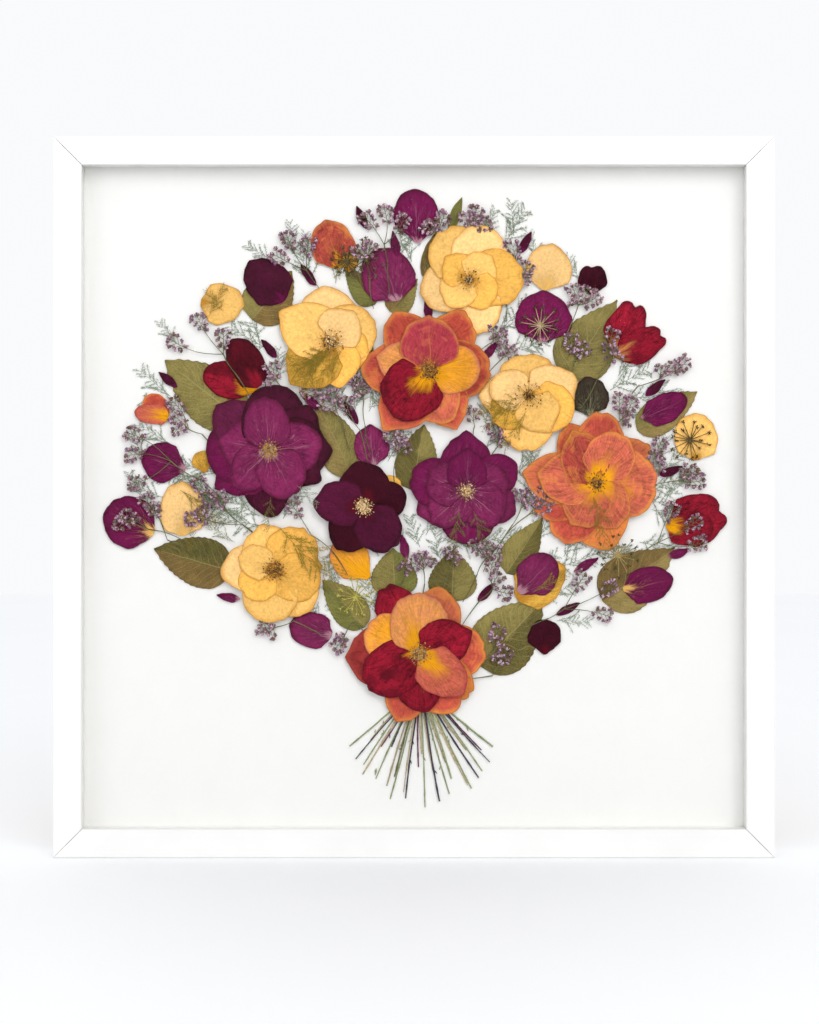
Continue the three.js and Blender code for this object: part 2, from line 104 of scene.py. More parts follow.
class PetalColours(bpy.types.PropertyGroup):
    """Colours of the pressed petals."""
    cream: shade("Cream petal", 0xF3C06C)
    pale_cream: shade("Pale cream petal", 0xF5C884)
    warm_cream: shade("Warm cream petal", 0xF6BA58)
    gold: shade("Golden petal", 0xD8A644)
    straw: shade("Base of a cream petal", 0xCC9030)
    cream_rim: shade("Rim of a cream petal", 0xCE9038)
    yellow: shade("Yellow petal base", 0xF4A80A)
    peach: shade("Peach petal", 0xDC9250)
    pink_rim: shade("Rim of a peach petal", 0xC4705C)
    gold_rim: shade("Golden rim of a coral petal", 0xDC9040)
    rosy: shade("Rosy petal", 0xB0483E)
    brown: shade("Dark brown petal", 0x3A3226)
    ash: shade("Pale vein of a dark petal", 0x9A9A78)
    amber: shade("Amber petal", 0xE29634)
    orange: shade("Orange petal", 0xD87C44)
    light_orange: shade("Light orange petal", 0xBE6244)
    salmon: shade("Salmon petal", 0xC2604A)
    coral: shade("Coral petal", 0xB84C3E)
    red_orange: shade("Red-orange petal", 0xAC4436)
    brick: shade("Brick-red petal", 0x963030)
    crimson: shade("Crimson petal", 0x90142A)
    crimson_pink: shade("Crimson-pink petal", 0xA63844)
    wine: shade("Dark crimson petal", 0x520618)
    orange_rim: shade("Rim of an orange petal", 0xD88A3C)
    plum: shade("Plum petal", 0x6A1044)
    bright_plum: shade("Bright plum petal", 0x7A2250)
    dusky_plum: shade("Dusky plum petal", 0x5E1A3C)
    dark_plum: shade("Dark plum petal", 0x480E28)
    mauve: shade("Pale vein of a plum petal", 0xC08C9C)
    burgundy: shade("Burgundy petal", 0x380316)
    burgundy_sheen: shade("Lit burgundy petal", 0x4E0E2E)
    black_red: shade("Rim of a burgundy petal", 0x24060E)


class PlantColours(bpy.types.PropertyGroup):
    """Colours of the leaves, stems, sprigs and flower centres."""
    olive: shade("Olive leaf", 0x867A42)
    dark_olive: shade("Dark olive leaf", 0x5E5528)
    green: shade("Green leaf", 0x6E6E34)
    leaf_brown: shade("Brown leaf", 0x765E32)
    tan: shade("Tan leaf", 0x94804A)
    vein: shade("Leaf vein", 0xB8AC70)
    stem_olive: shade("Olive stem", 0x6C6C48)
    stem_tan: shade("Tan stem", 0xB4A484)
    stem_green: shade("Green stem", 0x8E9870)
    stem_dark: shade("Dark stem", 0x423E48)
    stem_purple: shade("Purple stem", 0x62304A)
    lilac: shade("Sea-lavender floret", 0x866078)
    pink_lilac: shade("Pink-lilac floret", 0xBC9CAE)
    floret_brown: shade("Faded floret", 0x6E5A46)
    floret_dark: shade("Dark floret", 0x46343E)
    fern: shade("Fern", 0x808C76)
    fern_gold: shade("Golden fern", 0x8A7628)
    umbel: shade("Umbel head", 0x54482A)
    umbel_olive: shade("Olive umbel head", 0xA49058)
    umbel_pale: shade("Pale umbel head", 0xB4A07C)
    umbel_green: shade("Green umbel head", 0xB2AA54)
    boss_tan: shade("Tan flower centre", 0xB89A6C)
    boss_gold: shade("Golden flower centre", 0xB8862E)
    boss_pale: shade("Pale flower centre", 0xECCB98)
    boss_dark: shade("Dark stamen", 0x5A4028)
    boss_brown: shade("Brown stamen", 0x8A5E34)


class FrameFinish(bpy.types.PropertyGroup):
    """Colours of the frame and its back."""
    lacquer: shade("White lacquer", 0xF1F0EE)
    board: shade("White board", 0xF7F7F5)
    card: shade("White card strip", 0xF6F5F2)
    fibreboard: shade("Fibreboard", 0xA6845A)
    kraft: shade("Kraft paper", 0xB48E64)
    steel: shade("Zinc-plated steel", 0xB9B6AE)
    rubber: shade("Black rubber", 0x2A2A2A)
    arris: FloatProperty(
        name="Arris", description="Rounding of the rails' edges", default=0.0004, min=0.0001, max=0.0009,
        subtype="DISTANCE", unit="LENGTH")


class SpecimenSizes(bpy.types.PropertyGroup):
    """How far the dry pieces bend, and how thick their small parts are, in millimetres."""
    curl: in_mm("Curl", "Rise of a petal's edge over the next petal", 1.2, 0, 2)
    droop: in_mm("Droop", "Fall of a petal from its base to its rim", 0.8, 0, 2)
    floret: in_mm("Floret", "Length of a sea-lavender floret", 3.0, 1, 6)
    sprig_stem: in_mm("Sprig stem", "Thickness of a sprig's stem", 0.95, 0.2, 2)
    cut_stem: in_mm("Cut stem", "Thickness of a cut stem below the bouquet", 1.7, 0.5, 3)


class StageSettings(bpy.types.PropertyGroup):
    """Camera and studio light."""
    lens: FloatProperty(name="Lens", description="Focal length in mm", default=60, min=20, max=200)
    distance: FloatProperty(
        name="Distance", description="From the camera to the front of the frame", default=1.417, min=0.5,
        subtype="DISTANCE", unit="LENGTH")
    key: FloatProperty(name="Key light", description="Power of the large light", default=19, min=0)
    fill: FloatProperty(name="Fill light", description="Power of the fill light", default=6, min=0)
    sky: FloatProperty(name="Sky", description="Strength of the light from all around", default=0.98, min=0)
    floor: shade("Studio floor", 0xFBFCFD)


# ---- The bouquet ---------------------------------------------------------------------------------

# A look: colours of the petal's face, rim and base, then how far the base colour reaches, how strong the
# veins are and how strong the mottling is
LOOKS = {
    "cream": ("cream", "cream_rim", "straw", 0.24, 0.20, 0.20),
    "pale": ("pale_cream", "cream_rim", "cream", 0.35, 0.14, 0.14),
    "warm": ("warm_cream", "cream_rim", "straw", 0.28, 0.25, 0.25),
    "gold": ("gold", "straw", "straw", 0.45, 0.55, 0.60),
    "red_orange": ("red_orange", "gold_rim", "orange", 0.35, 0.45, 0.40),
    "coral": ("coral", "gold_rim", "orange", 0.35, 0.45, 0.45),
    "orange": ("orange", "orange_rim", "yellow", 0.40, 0.45, 0.45),
    "light_orange": ("light_orange", "orange_rim", "yellow", 0.35, 0.40, 0.45),
    "salmon": ("salmon", "gold_rim", "yellow", 0.30, 0.50, 0.50),
    "salmon_star": ("salmon", "gold_rim", "yellow", 0.66, 0.90, 0.50),
    "peach_star": ("peach", "pink_rim", "yellow", 0.80, 0.55, 0.45),
    "amber_star": ("amber", "pink_rim", "yellow", 0.95, 0.55, 0.40),
    "split_star": ("salmon", "crimson_pink", "yellow", 0.75, 0.80, 0.50),
    "brick": ("brick", "coral", "red_orange", 0.35, 0.60, 0.60),
    "crimson_star": ("crimson", "wine", "yellow", 0.50, 0.90, 0.75),
    "crimson_pink": ("crimson_pink", "gold_rim", "orange", 0.20, 0.70, 0.22),
    "ringed": ("rosy", "gold_rim", "yellow", 0.25, 0.90, 0.62),
    "wrinkled": ("crimson", "wine", "yellow", 0.22, 1.10, 0.85),
    "rose": ("crimson", "wine", "peach", 0.42, 1.20, 0.85),
    "wine": ("wine", "black_red", "crimson", 0.50, 0.60, 0.60),
    "plum": ("plum", "dark_plum", "mauve", 0.14, 0.45, 0.45),
    "tipped_plum": ("plum", "dark_plum", "cream", 0.17, 0.40, 0.50),
    "bright_plum": ("bright_plum", "dark_plum", "mauve", 0.19, 0.50, 0.50),
    "streaked_plum": ("bright_plum", "dark_plum", "mauve", 0.20, 0.85, 0.50),
    "dusky_plum": ("dusky_plum", "dark_plum", "plum", 0.35, 0.40, 0.45),
    "dark_plum": ("dark_plum", "black_red", "plum", 0.30, 0.40, 0.40),
    "burgundy": ("burgundy", "black_red", "wine", 0.40, 0.30, 0.35),
    "frilled": ("burgundy", "black_red", "wine", 0.30, 0.50, 0.70),
    "burgundy_sheen": ("burgundy_sheen", "black_red", "wine", 0.40, 0.30, 0.35),
    "brown": ("brown", "black_red", "ash", 0.15, 1.00, 0.60),
}

# A petal of a flower: direction (degrees from +x towards up), length, width, layer, look
FLOWERS = [
    {"name": "flower_cream_upper_left", "at": (-69, 430), "tier": 0, "boss": "specked", "slot": "cream_petal",
     "petals": [(98, 48, 46, 0, "pale"), (150, 51, 42, 1, "cream"), (27, 41, 43, 1, "cream"),
                (55, 32, 35, 2, "pale"), (-25, 36, 33, 1, "warm"), (-80, 39, 38, 1, "warm"),
                (225, 50, 43, 1, "gold")]},
    {"name": "flower_cream_top", "at": (46, 482), "tier": 0, "boss": "sepal", "slot": "cream_petal",
     "petals": [(115, 48, 42, 0, "cream"), (68, 48, 42, 0, "pale"), (195, 42, 38, 0, "pale"),
                (285, 46, 38, 0, "pale"), (5, 46, 42, 1, "warm"), (45, 28, 28, 2, "cream"),
                (135, 28, 28, 2, "warm"), (225, 28, 28, 2, "cream"), (315, 28, 28, 2, "warm")]},
    {"name": "flower_orange_top", "at": (13, 406), "tier": 2, "boss": "golden", "slot": "orange_petal",
     "petals": [(122, 58, 40, 0, "red_orange"), (57, 58, 38, 0, "red_orange"), (178, 58, 42, 0, "coral"),
                (232, 64, 42, 0, "coral"), (295, 55, 38, 0, "coral"), (2, 51, 43, 1, "red_orange"),
                (285, 47, 36, 1, "salmon"), (165, 46, 38, 2, "peach_star"), (3, 43, 36, 2, "amber_star"),
                (90, 46, 44, 3, "crimson_pink"), (228, 49, 46, 3, "crimson_star")]},
    {"name": "flower_cream_right", "at": (96, 385), "tier": 1, "boss": "scattered", "slot": "cream_petal",
     "petals": [(92, 35, 42, 0, "cream"), (180, 42, 37, 0, "pale"), (268, 46, 40, 0, "cream"),
                (15, 42, 38, 1, "pale"), (-30, 42, 37, 1, "warm"), (215, 37, 34, 1, "gold"),
                (160, 34, 30, 2, "pale"), (300, 36, 33, 2, "cream")]},
    {"name": "flower_orange_right", "at": (153, 312), "tier": 0, "boss": "brown", "slot": "orange_petal",
     "petals": [(115, 55, 38, 0, "red_orange"), (85, 59, 38, 0, "coral"), (35, 55, 37, 0, "light_orange"),
                (172, 62, 40, 0, "light_orange"), (205, 57, 33, 0, "coral"), (275, 57, 46, 0, "orange"),
                (238, 58, 38, 0, "coral"), (-2, 51, 50, 1, "salmon_star"), (115, 49, 37, 2, "ringed"),
                (62, 46, 37, 2, "salmon_star"), (170, 50, 40, 2, "salmon_star"),
                (240, 41, 37, 2, "salmon_star"), (-65, 42, 37, 2, "salmon_star")]},
    {"name": "flower_plum_left", "at": (-121, 339), "tier": 0, "boss": "tan", "slot": "plum_petal",
     "petals": [(82, 56, 48, 0, "dark_plum"), (140, 59, 42, 0, "dusky_plum"), (180, 54, 50, 0, "plum"),
                (215, 56, 42, 0, "plum"), (268, 56, 38, 0, "dark_plum"), (40, 51, 37, 0, "dark_plum"),
                (0, 53, 50, 0, "dark_plum"), (-30, 51, 35, 0, "dark_plum"), (168, 45, 38, 1, "bright_plum"),
                (8, 45, 38, 1, "streaked_plum"), (95, 46, 35, 2, "bright_plum"),
                (225, 43, 32, 2, "streaked_plum"), (-62, 43, 37, 3, "bright_plum")]},
    {"name": "flower_plum_right", "at": (44, 305), "tier": 0, "boss": "disc", "slot": "plum_petal",
     "petals": [(90, 51, 40, 0, "plum"), (28, 48, 33, 0, "plum"), (-25, 45, 33, 0, "bright_plum"),
                (272, 45, 42, 0, "plum"), (205, 46, 42, 0, "bright_plum"), (165, 49, 38, 0, "plum"),
                (20, 37, 32, 2, "streaked_plum"), (-40, 38, 35, 2, "streaked_plum"),
                (222, 40, 33, 2, "streaked_plum"), (160, 35, 32, 2, "streaked_plum"),
                (88, 37, 30, 3, "plum")]},
    {"name": "flower_burgundy", "at": (-42, 292), "tier": 1, "boss": "pale", "slot": "burgundy_petal",
     "petals": [(15, 37, 30, 0, "burgundy"), (90, 38, 38, 1, "burgundy"), (238, 43, 35, 1, "burgundy"),
                (305, 43, 35, 2, "burgundy_sheen"), (172, 42, 33, 2, "burgundy_sheen")]},
    {"name": "flower_cream_lower_left", "at": (-117, 239), "tier": 1, "boss": "golden", "slot": "cream_petal",
     "petals": [(105, 41, 42, 0, "cream"), (178, 45, 37, 0, "pale"), (260, 45, 42, 0, "cream"),
                (310, 46, 40, 0, "cream"), (5, 40, 38, 0, "warm"), (45, 43, 38, 1, "warm"),
                (215, 33, 30, 1, "warm"), (-20, 41, 36, 1, "warm"), (155, 32, 25, 2, "cream")]},
    {"name": "flower_red_bottom", "at": (5, 169), "tier": 0, "boss": "tan", "slot": "orange_petal",
     "petals": [(68, 58, 42, 0, "light_orange"), (183, 63, 50, 0, "brick"), (252, 61, 38, 0, "coral"),
                (298, 58, 38, 0, "coral"), (3, 55, 42, 0, "coral"), (-38, 55, 30, 0, "orange"),
                (118, 63, 35, 1, "wrinkled"), (155, 50, 40, 2, "amber_star"),
                (270, 50, 37, 2, "crimson_star"), (-42, 50, 34, 4.7, "split_star"),
                (90, 51, 45, 3, "peach_star"), (210, 52, 40, 3, "wrinkled"), (24, 48, 36, 3.8, "wrinkled")]},
]

# Loose petals: name, where the petal was attached, direction, length, width, look and slot
LOOSE_PETALS = [
    ("petal_plum_top", (3, 514), 93, 45, 38, "plum", "plum_petal"),
    ("petal_red_top_left", (-63, 493), 105, 42, 38, "ringed", "orange_petal"),
    ("petal_plum_upper", (-14, 465), 110, 47, 45, "bright_plum", "plum_petal"),
    ("petal_dark_plum", (-109, 464), 130, 46, 38, "dark_plum", "plum_petal"),
    ("petal_cream_left", (-179, 464), -5, 37, 35, "cream", "cream_petal"),
    ("petal_crimson_left", (-131, 391), 163, 48, 32, "crimson_star", "crimson_petal"),
    ("petal_plum_left", (-192, 323), 162, 38, 34, "plum", "plum_petal"),
    ("petal_plum_far_left", (-219, 270), 155, 45, 44, "tipped_plum", "plum_petal"),
    ("petal_cream_lower_left", (-194, 267), 92, 46, 38, "pale", "cream_petal"),
    ("petal_cream_top_right", (110, 474), 80, 40, 40, "pale", "cream_petal"),
    ("petal_plum_upper_right", (109, 430), 90, 44, 48, "plum", "plum_petal"),
    ("petal_crimson_upper_right", (168, 420), 66, 47, 34, "rose", "crimson_petal"),
    ("petal_crimson_far_right", (214, 273), 20, 49, 45, "wrinkled", "crimson_petal"),
    ("petal_plum_lower_right", (176, 222), 12, 43, 30, "tipped_plum", "plum_petal"),
]

# Petals too small or too well hidden to have a solid of their own, with the height that they lie at
SMALL_PETALS = [
    ("petal_wine_left", (-130, 392), 118, 47, 30, "wine", "crimson_petal", 2.4),
    ("petal_bud_left", (-205, 366), 140, 28, 20, "red_orange", "orange_petal", 2.0),
    ("petal_bud_left_lobe", (-205, 368), 172, 30, 17, "split_star", "orange_petal", 2.5),
    ("petal_plum_middle", (-34, 326), 95, 35, 30, "streaked_plum", "plum_petal", 2.0),
    ("petal_orange_middle", (-38, 232), 135, 42, 32, "amber_star", "orange_petal", 2.0),
    ("petal_plum_lower_left", (-69, 184), 165, 37, 30, "bright_plum", "plum_petal", 2.0),
    ("petal_pansy_top_right", (150, 470), 90, 25, 26, "frilled", "burgundy_petal", 2.0),
    ("petal_dark_veined", (148, 368), 90, 33, 32, "brown", "burgundy_petal", 2.0),
    ("petal_plum_pointed", (192, 366), 25, 41, 25, "plum", "plum_petal", 2.4),
    ("petal_cream_far_right", (237, 331), 90, 40, 37, "cream", "cream_petal", 2.0),
    ("petal_cream_speckled", (86, 214), 35, 50, 38, "gold", "cream_petal", 2.0),
    ("petal_plum_lower_middle", (88, 219), 45, 42, 35, "bright_plum", "plum_petal", 2.6),
    ("petal_burgundy_bottom", (110, 168), 90, 29, 29, "burgundy", "burgundy_petal", 2.0),
    ("petal_gold_scrap", (-176, 321), 100, 18, 18, "gold", "cream_petal", 2.0),
    ("petal_cream_scrap", (-10, 306), 150, 20, 14, "warm", "cream_petal", 3.0),
    ("petal_crimson_lobe", (168, 418), 24, 46, 30, "rose", "crimson_petal", 2.5),
    ("petal_yellow_scrap", (-55, 489), 80, 17, 15, "gold", "cream_petal", 2.5),
    ("petal_wine_far_right", (212, 276), -5, 40, 30, "crimson_star", "crimson_petal", 2.5),
]

# Slender plum petals: place, direction and length
SLENDER_PETALS = [
    ((-44, 535), 115, 21), ((-16, 513), 100, 22), ((-89, 487), 125, 22), ((-122, 425), 130, 20),
    ((-207, 399), 140, 20), ((-87, 381), 140, 24), ((-53, 371), 120, 22), ((94, 514), 60, 20),
    ((12, 460), 95, 22), ((64, 423), 50, 20), ((203, 392), 40, 21), ((216, 322), 20, 20),
    ((-8, 258), 100, 21), ((-156, 216), 170, 20), ((145, 243), 30, 24), ((61, 220), 50, 20),
    ((130, 206), 25, 22), ((223, 253), 20, 20),
]

# Leaves: name, foot, direction, length, width, colours of the two halves and slot
LEAVES = [
    ("leaf_upper_left", (-144, 364), 142, 83, 50, "olive", "olive", "olive_leaf"),
    ("leaf_upper_right", (129, 401), 57, 77, 50, "olive", "olive", "olive_leaf"),
    ("leaf_bottom", (55, 158), 46, 76, 54, "olive", "dark_olive", "olive_leaf"),
    ("leaf_brown_right", (159, 212), 37, 76, 48, "leaf_brown", "tan", "brown_leaf"),
    ("leaf_brown_left", (-154, 238), 164, 67, 42, "leaf_brown", "dark_olive", "brown_leaf"),
    ("leaf_centre_left", (-52, 318), 115, 67, 36, "tan", "olive", "olive_leaf"),
    ("leaf_centre", (-2, 306), 79, 56, 35, "dark_olive", "olive", "olive_leaf"),
    ("leaf_centre_right", (78, 236), 57, 56, 30, "olive", "dark_olive", "olive_leaf"),
    ("leaf_heart", (-16, 216), 92, 41, 39, "olive", "green", "olive_leaf"),
    ("leaf_round", (32, 212), 88, 44, 40, "dark_olive", "olive", "olive_leaf"),
    ("leaf_far_right", (188, 356), 33, 60, 30, "olive", "tan", "brown_leaf"),
    ("leaf_top_left", (-136, 449), 51, 53, 42, "olive", "leaf_brown", "olive_leaf"),
]

# Leaves with no solid of their own
SMALL_LEAVES = [
    ("leaf_green_middle", (-41, 191), 132, 53, 30, "green", "olive", "olive_leaf"),
    ("leaf_green_top", (30, 523), 71, 31, 9, "green", "green", "olive_leaf"),
    ("leaf_brown_top", (7, 486), 72, 39, 11, "leaf_brown", "tan", "brown_leaf"),
    ("leaf_tan_upper", (-20, 456), 50, 36, 24, "leaf_brown", "olive", "brown_leaf"),
    ("leaf_green_upper", (-33, 462), 128, 42, 22, "green", "dark_olive", "olive_leaf"),
    ("leaf_narrow_upper", (-34, 420), 112, 48, 8, "green", "green", "olive_leaf"),
]

# Sprays of sea lavender that have solids: name, foot of the stem, fork, tips of the flower heads
SPRAYS = [
    ("sea_lavender_top_left", (-80, 476), (-90, 490), [(-107, 521), (-118, 504), (-88, 516)]),
    ("sea_lavender_top", (-22, 495), (-25, 512), [(-42, 536), (-25, 543), (-8, 535)]),
    ("sea_lavender_left", (-150, 404), (-160, 420), [(-182, 452), (-204, 432), (-160, 438)]),
    ("sea_lavender_far_left", (-178, 314), (-204, 330), [(-240, 354), (-240, 335), (-238, 311)]),
    ("sea_lavender_far_right", (188, 251), (205, 262), [(218, 293), (239, 281), (243, 262)]),
    ("sea_lavender_lower_right", (113, 198), (126, 206), [(143, 234), (168, 226), (164, 200)]),
]

SPRIG_TAIL = 26  # how far a sprig's stem runs on towards the tie of the bouquet

# Smaller sprigs: foot, fork, tips
SPRIGS = [
    ((-37, 484), (-40, 498), [(-47, 509), (-36, 512)]),
    ((-109, 391), (-115, 397), [(-120, 410), (-121, 399)]),
    ((-178, 353), (-189, 357), [(-203, 381), (-201, 368), (-201, 357)]),
    ((-207, 264), (-213, 281), [(-226, 300), (-219, 293)]),
    ((-194, 264), (-223, 273), [(-250, 279), (-244, 285)]),
    ((-144, 277), (-168, 279), [(-190, 281), (-181, 288)]),
    ((-144, 277), (-157, 288), [(-182, 314), (-174, 302), (-165, 302)]),
    ((-70, 256), (-86, 268), [(-103, 295)]),
    ((-61, 364), (-66, 376), [(-91, 391), (-80, 393), (-70, 387)]),
    ((-45, 356), (-53, 368), [(-76, 379), (-57, 382)]),
    ((-41, 360), (-42, 381), [(-56, 407), (-47, 397), (-43, 393)]),
    ((-17, 318), (-14, 335), [(-20, 354), (-12, 350), (-6, 343)]),
    ((18, 505), (20, 520), [(9, 528), (15, 530), (26, 537)]),
    ((45, 513), (50, 525), [(43, 537), (53, 542), (63, 530), (53, 534)]),
    ((76, 472), (88, 484), [(82, 513), (96, 495), (96, 484)]),
    ((134, 450), (138, 461), [(133, 476), (134, 464), (146, 474), (154, 469)]),
    ((131, 404), (136, 416), [(132, 435), (136, 422), (144, 426)]),
    ((153, 397), (163, 414), [(167, 439), (164, 426), (171, 420)]),
    ((188, 393), (206, 399), [(208, 408), (223, 411), (229, 414)]),
    ((164, 356), (173, 364), [(173, 385), (184, 382), (179, 372), (178, 364)]),
    ((188, 312), (198, 324), [(208, 347), (204, 335), (208, 327)]),
    ((204, 311), (224, 314), [(237, 322), (229, 322), (242, 314)]),
    ((55, 422), (66, 430), [(69, 441), (76, 435)]),
    ((63, 405), (74, 416), [(77, 426), (84, 422)]),
    ((50, 349), (51, 360), [(51, 372)]),
    ((63, 332), (70, 342), [(67, 360), (71, 351), (80, 351)]),
    ((83, 277), (90, 291), [(90, 304), (99, 302), (96, 296)]),
    ((71, 260), (96, 285), [(109, 304), (117, 300), (113, 293)]),
    ((9, 227), (8, 239), [(5, 252), (13, 248), (-2, 246)]),
    ((27, 231), (32, 243), [(30, 256), (34, 249)]),
    ((53, 235), (60, 248), [(51, 263), (61, 260), (71, 253)]),
    ((56, 214), (66, 223), [(67, 248), (71, 235), (80, 219)]),
    ((61, 163), (68, 173), [(71, 190), (69, 181)]),
    ((66, 150), (71, 158), [(71, 165), (78, 171)]),
    ((-12, 223), (-8, 233), [(-7, 242)]),
    ((-101, 196), (-115, 191), [(-128, 191), (-121, 186)]),
    ((-51, 196), (-57, 186), [(-61, 181), (-66, 173)]),
]

# Wisps of fern: foot, direction, length
FERN = [
    ((-84, 478), 115, 42), ((-66, 480), 80, 38), ((-14, 494), 80, 36), ((-2, 498), 100, 30),
    ((-124, 425), 150, 40), ((-130, 432), 110, 36), ((-205, 385), 140, 36), ((-196, 372), 165, 36),
    ((-55, 366), 110, 40), ((-50, 372), 75, 36), ((-62, 382), 130, 34), ((-165, 320), 165, 36),
    ((-185, 318), 185, 34), ((-148, 288), 175, 42), ((-160, 300), 200, 40), ((-130, 284), 150, 36),
    ((-205, 345), 150, 34), ((-225, 330), 120, 30), ((-222, 285), 200, 30), ((-110, 282), 60, 34),
    ((76, 512), 60, 38), ((84, 520), 95, 30), ((70, 436), 50, 40), ((84, 442), 20, 40), ((78, 424), 10, 36),
    ((96, 425), 40, 32), ((165, 390), 30, 40), ((172, 402), 60, 36), ((180, 384), 0, 36),
    ((150, 440), 20, 30), ((198, 305), 20, 38), ((204, 316), 50, 34), ((196, 296), 0, 36),
    ((215, 300), 60, 28), ((130, 262), 30, 40), ((140, 270), 10, 38), ((126, 250), 60, 34),
    ((150, 252), 0, 36), ((120, 240), 20, 40), ((105, 262), 70, 34), ((10, 268), 60, 36),
    ((22, 262), 20, 36), ((34, 262), -10, 34), ((5, 258), 110, 30), ((-6, 262), 150, 30),
    ((-128, 276), 170, 38), ((-170, 290), 120, 34), ((95, 300), 80, 36), ((88, 320), 60, 30),
    ((84, 246), 60, 36), ((95, 232), 40, 34), ((108, 216), 20, 34), ((-30, 250), 100, 30),
    ((-30, 200), 110, 36), ((-80, 212), 250, 34), ((-62, 262), 240, 30), ((-22, 330), 60, 34),
    ((60, 340), 50, 34), ((75, 355), 20, 30), ((175, 240), 20, 34), ((190, 262), -10, 34),
    ((120, 196), 0, 30), ((-50, 390), 95, 30), ((-38, 372), 60, 30), ((-70, 370), 160, 34),
    ((-150, 300), 185, 38), ((-140, 296), 215, 34), ((-175, 300), 140, 34), ((-190, 300), 200, 34),
    ((-60, 255), 255, 34), ((-70, 240), 275, 36), ((-85, 205), 300, 26), ((-48, 262), 225, 28),
    ((20, 250), 95, 26), ((45, 258), 50, 34), ((58, 262), 15, 34), ((30, 236), 120, 26),
    ((70, 262), 350, 34), ((118, 270), 90, 30), ((100, 320), 95, 30), ((92, 345), 60, 28),
    ((72, 415), 95, 26), ((88, 415), 345, 30), ((120, 425), 20, 34), ((60, 360), 80, 30),
    ((-20, 350), 80, 28), ((-28, 372), 100, 24), ((160, 262), 330, 34), ((200, 290), 330, 28),
    ((176, 226), 350, 24), ((206, 330), 75, 24), ((178, 372), 340, 38), ((196, 392), 350, 30),
    ((-130, 410), 125, 28), ((-112, 400), 95, 26), ((-212, 300), 160, 28), ((-228, 300), 120, 26),
    ((-90, 500), 95, 24), ((60, 520), 70, 26), ((-5, 520), 80, 22), ((104, 500), 110, 26),
    ((-200, 430), 130, 24), ((-120, 500), 150, 26), ((-100, 505), 100, 28), ((140, 482), 120, 26),
]

# Fern pressed on top of petals: foot, direction, length, height, colour
FERN_ON_PETALS = [
    ((-64, 428), 215, 46, 7.4, "fern_gold"), ((-78, 425), 240, 40, 7.6, "fern_gold"),
    ((-66, 420), 190, 44, 7.8, "fern_gold"), ((-84, 412), 255, 30, 7.4, "fern_gold"),
    ((-74, 418), 205, 34, 8.0, "fern_gold"), ((-60, 424), 235, 40, 8.0, "fern_gold"),
    ((-172, 452), 62, 30, 3.2, "fern_gold"), ((-160, 456), 130, 24, 3.2, "fern_gold"),
    ((-196, 306), 320, 44, 3.2, "fern_gold"), ((-190, 250), 80, 24, 3.2, "fern_gold"),
    ((-112, 274), 312, 62, 9.2, "fern_gold"), ((-100, 268), 320, 52, 9.2, "fern_gold"),
    ((90, 380), 215, 40, 9.6, "fern_gold"), ((94, 372), 240, 38, 9.6, "fern_gold"),
    ((84, 376), 190, 34, 9.8, "fern_gold"), ((88, 384), 200, 36, 9.8, "fern_gold"),
    ((150, 300), 285, 42, 8.2, "fern_gold"), ((38, 290), 262, 38, 7.4, "green"),
    ((50, 288), 290, 36, 7.4, "green"), ((-98, 310), 318, 30, 7.4, "fern"),
    ((-120, 300), 262, 28, 6.6, "green"), ((100, 220), 30, 34, 3.6, "fern_gold"),
    ((-62, 505), 265, 22, 3.4, "fern_gold"), ((-150, 262), 150, 30, 3.0, "green"),
    ((-160, 258), 190, 28, 3.0, "green"),
]

# Umbel heads: centre, radius of the rays, height, colours of the rays and of the tips
UMBELS = [
    ((106, 444), 17, 4.2, "umbel_pale", "umbel"), ((232, 348), 18, 4.0, "umbel", "umbel"),
    ((171, 251), 18, 8.6, "umbel_olive", "umbel"), ((-49, 216), 16, 4.0, "umbel_green", "umbel_green"),
    ((-56, 498), 13, 4.0, "umbel", "umbel"), ((-40, 500), 17, 4.4, "umbel", "floret_brown"),
]
UMBEL_RAYS = 17
RAY_WIDTH = 0.85

# Cut stems: where they would meet, the angle of their fan and the length hidden under the bouquet
STEM_TIE = (5, 143)
STEM_SPREAD = 93.5
STEM_HIDDEN = 22
# Lengths and colours across the fan, from left to right
STEM_LENGTHS = [79, 63, 83, 83, 90, 62, 88, 58, 90, 81, 100, 92, 97, 70, 59, 104, 74, 100, 96, 70, 84,
                94, 98, 93, 68, 90, 88, 76, 81]
STEM_COLOURS = ["green", "tan", "dark", "green", "tan", "purple", "green", "dark", "tan", "olive", "green",
                "tan", "dark", "purple", "tan", "green", "tan", "dark", "green", "tan", "green", "tan",
                "green", "dark", "tan", "green", "dark", "purple", "green"]


# ---- Modelling helpers ---------------------------------------------------------------------------

SAME_PLACE = 1e-5  # vertices closer than this are one


def only(piece):
    """Selects one object and makes it the active one."""
    bpy.ops.object.select_all(action="DESELECT")
    piece.select_set(True)
    bpy.context.view_layer.objects.active = piece


@contextlib.contextmanager
def editing(piece):
    """Edit mode on one object, with its mesh to choose vertices from."""
    only(piece)
    bpy.ops.object.mode_set(mode="EDIT")
    mesh = bmesh.from_edit_mesh(piece.data)
    mesh.verts.ensure_lookup_table()
    yield mesh
    bpy.ops.object.mode_set(mode="OBJECT")


def choose(mesh, chosen):
    bpy.ops.mesh.select_all(action="DESELECT")
    for part in chosen:
        part.select_set(True)
    mesh.select_flush_mode()


def move(mesh, chosen, x=0, y=0, z=0):
    choose(mesh, chosen)
    bpy.ops.transform.translate(value=(x, y, z))


def apply_modifier(piece, kind, **settings):
    only(piece)
    modifier = piece.modifiers.new(kind.title(), kind)
    for key, value in settings.items():
        setattr(modifier, key, value)
    bpy.ops.object.modifier_apply(modifier=modifier.name)


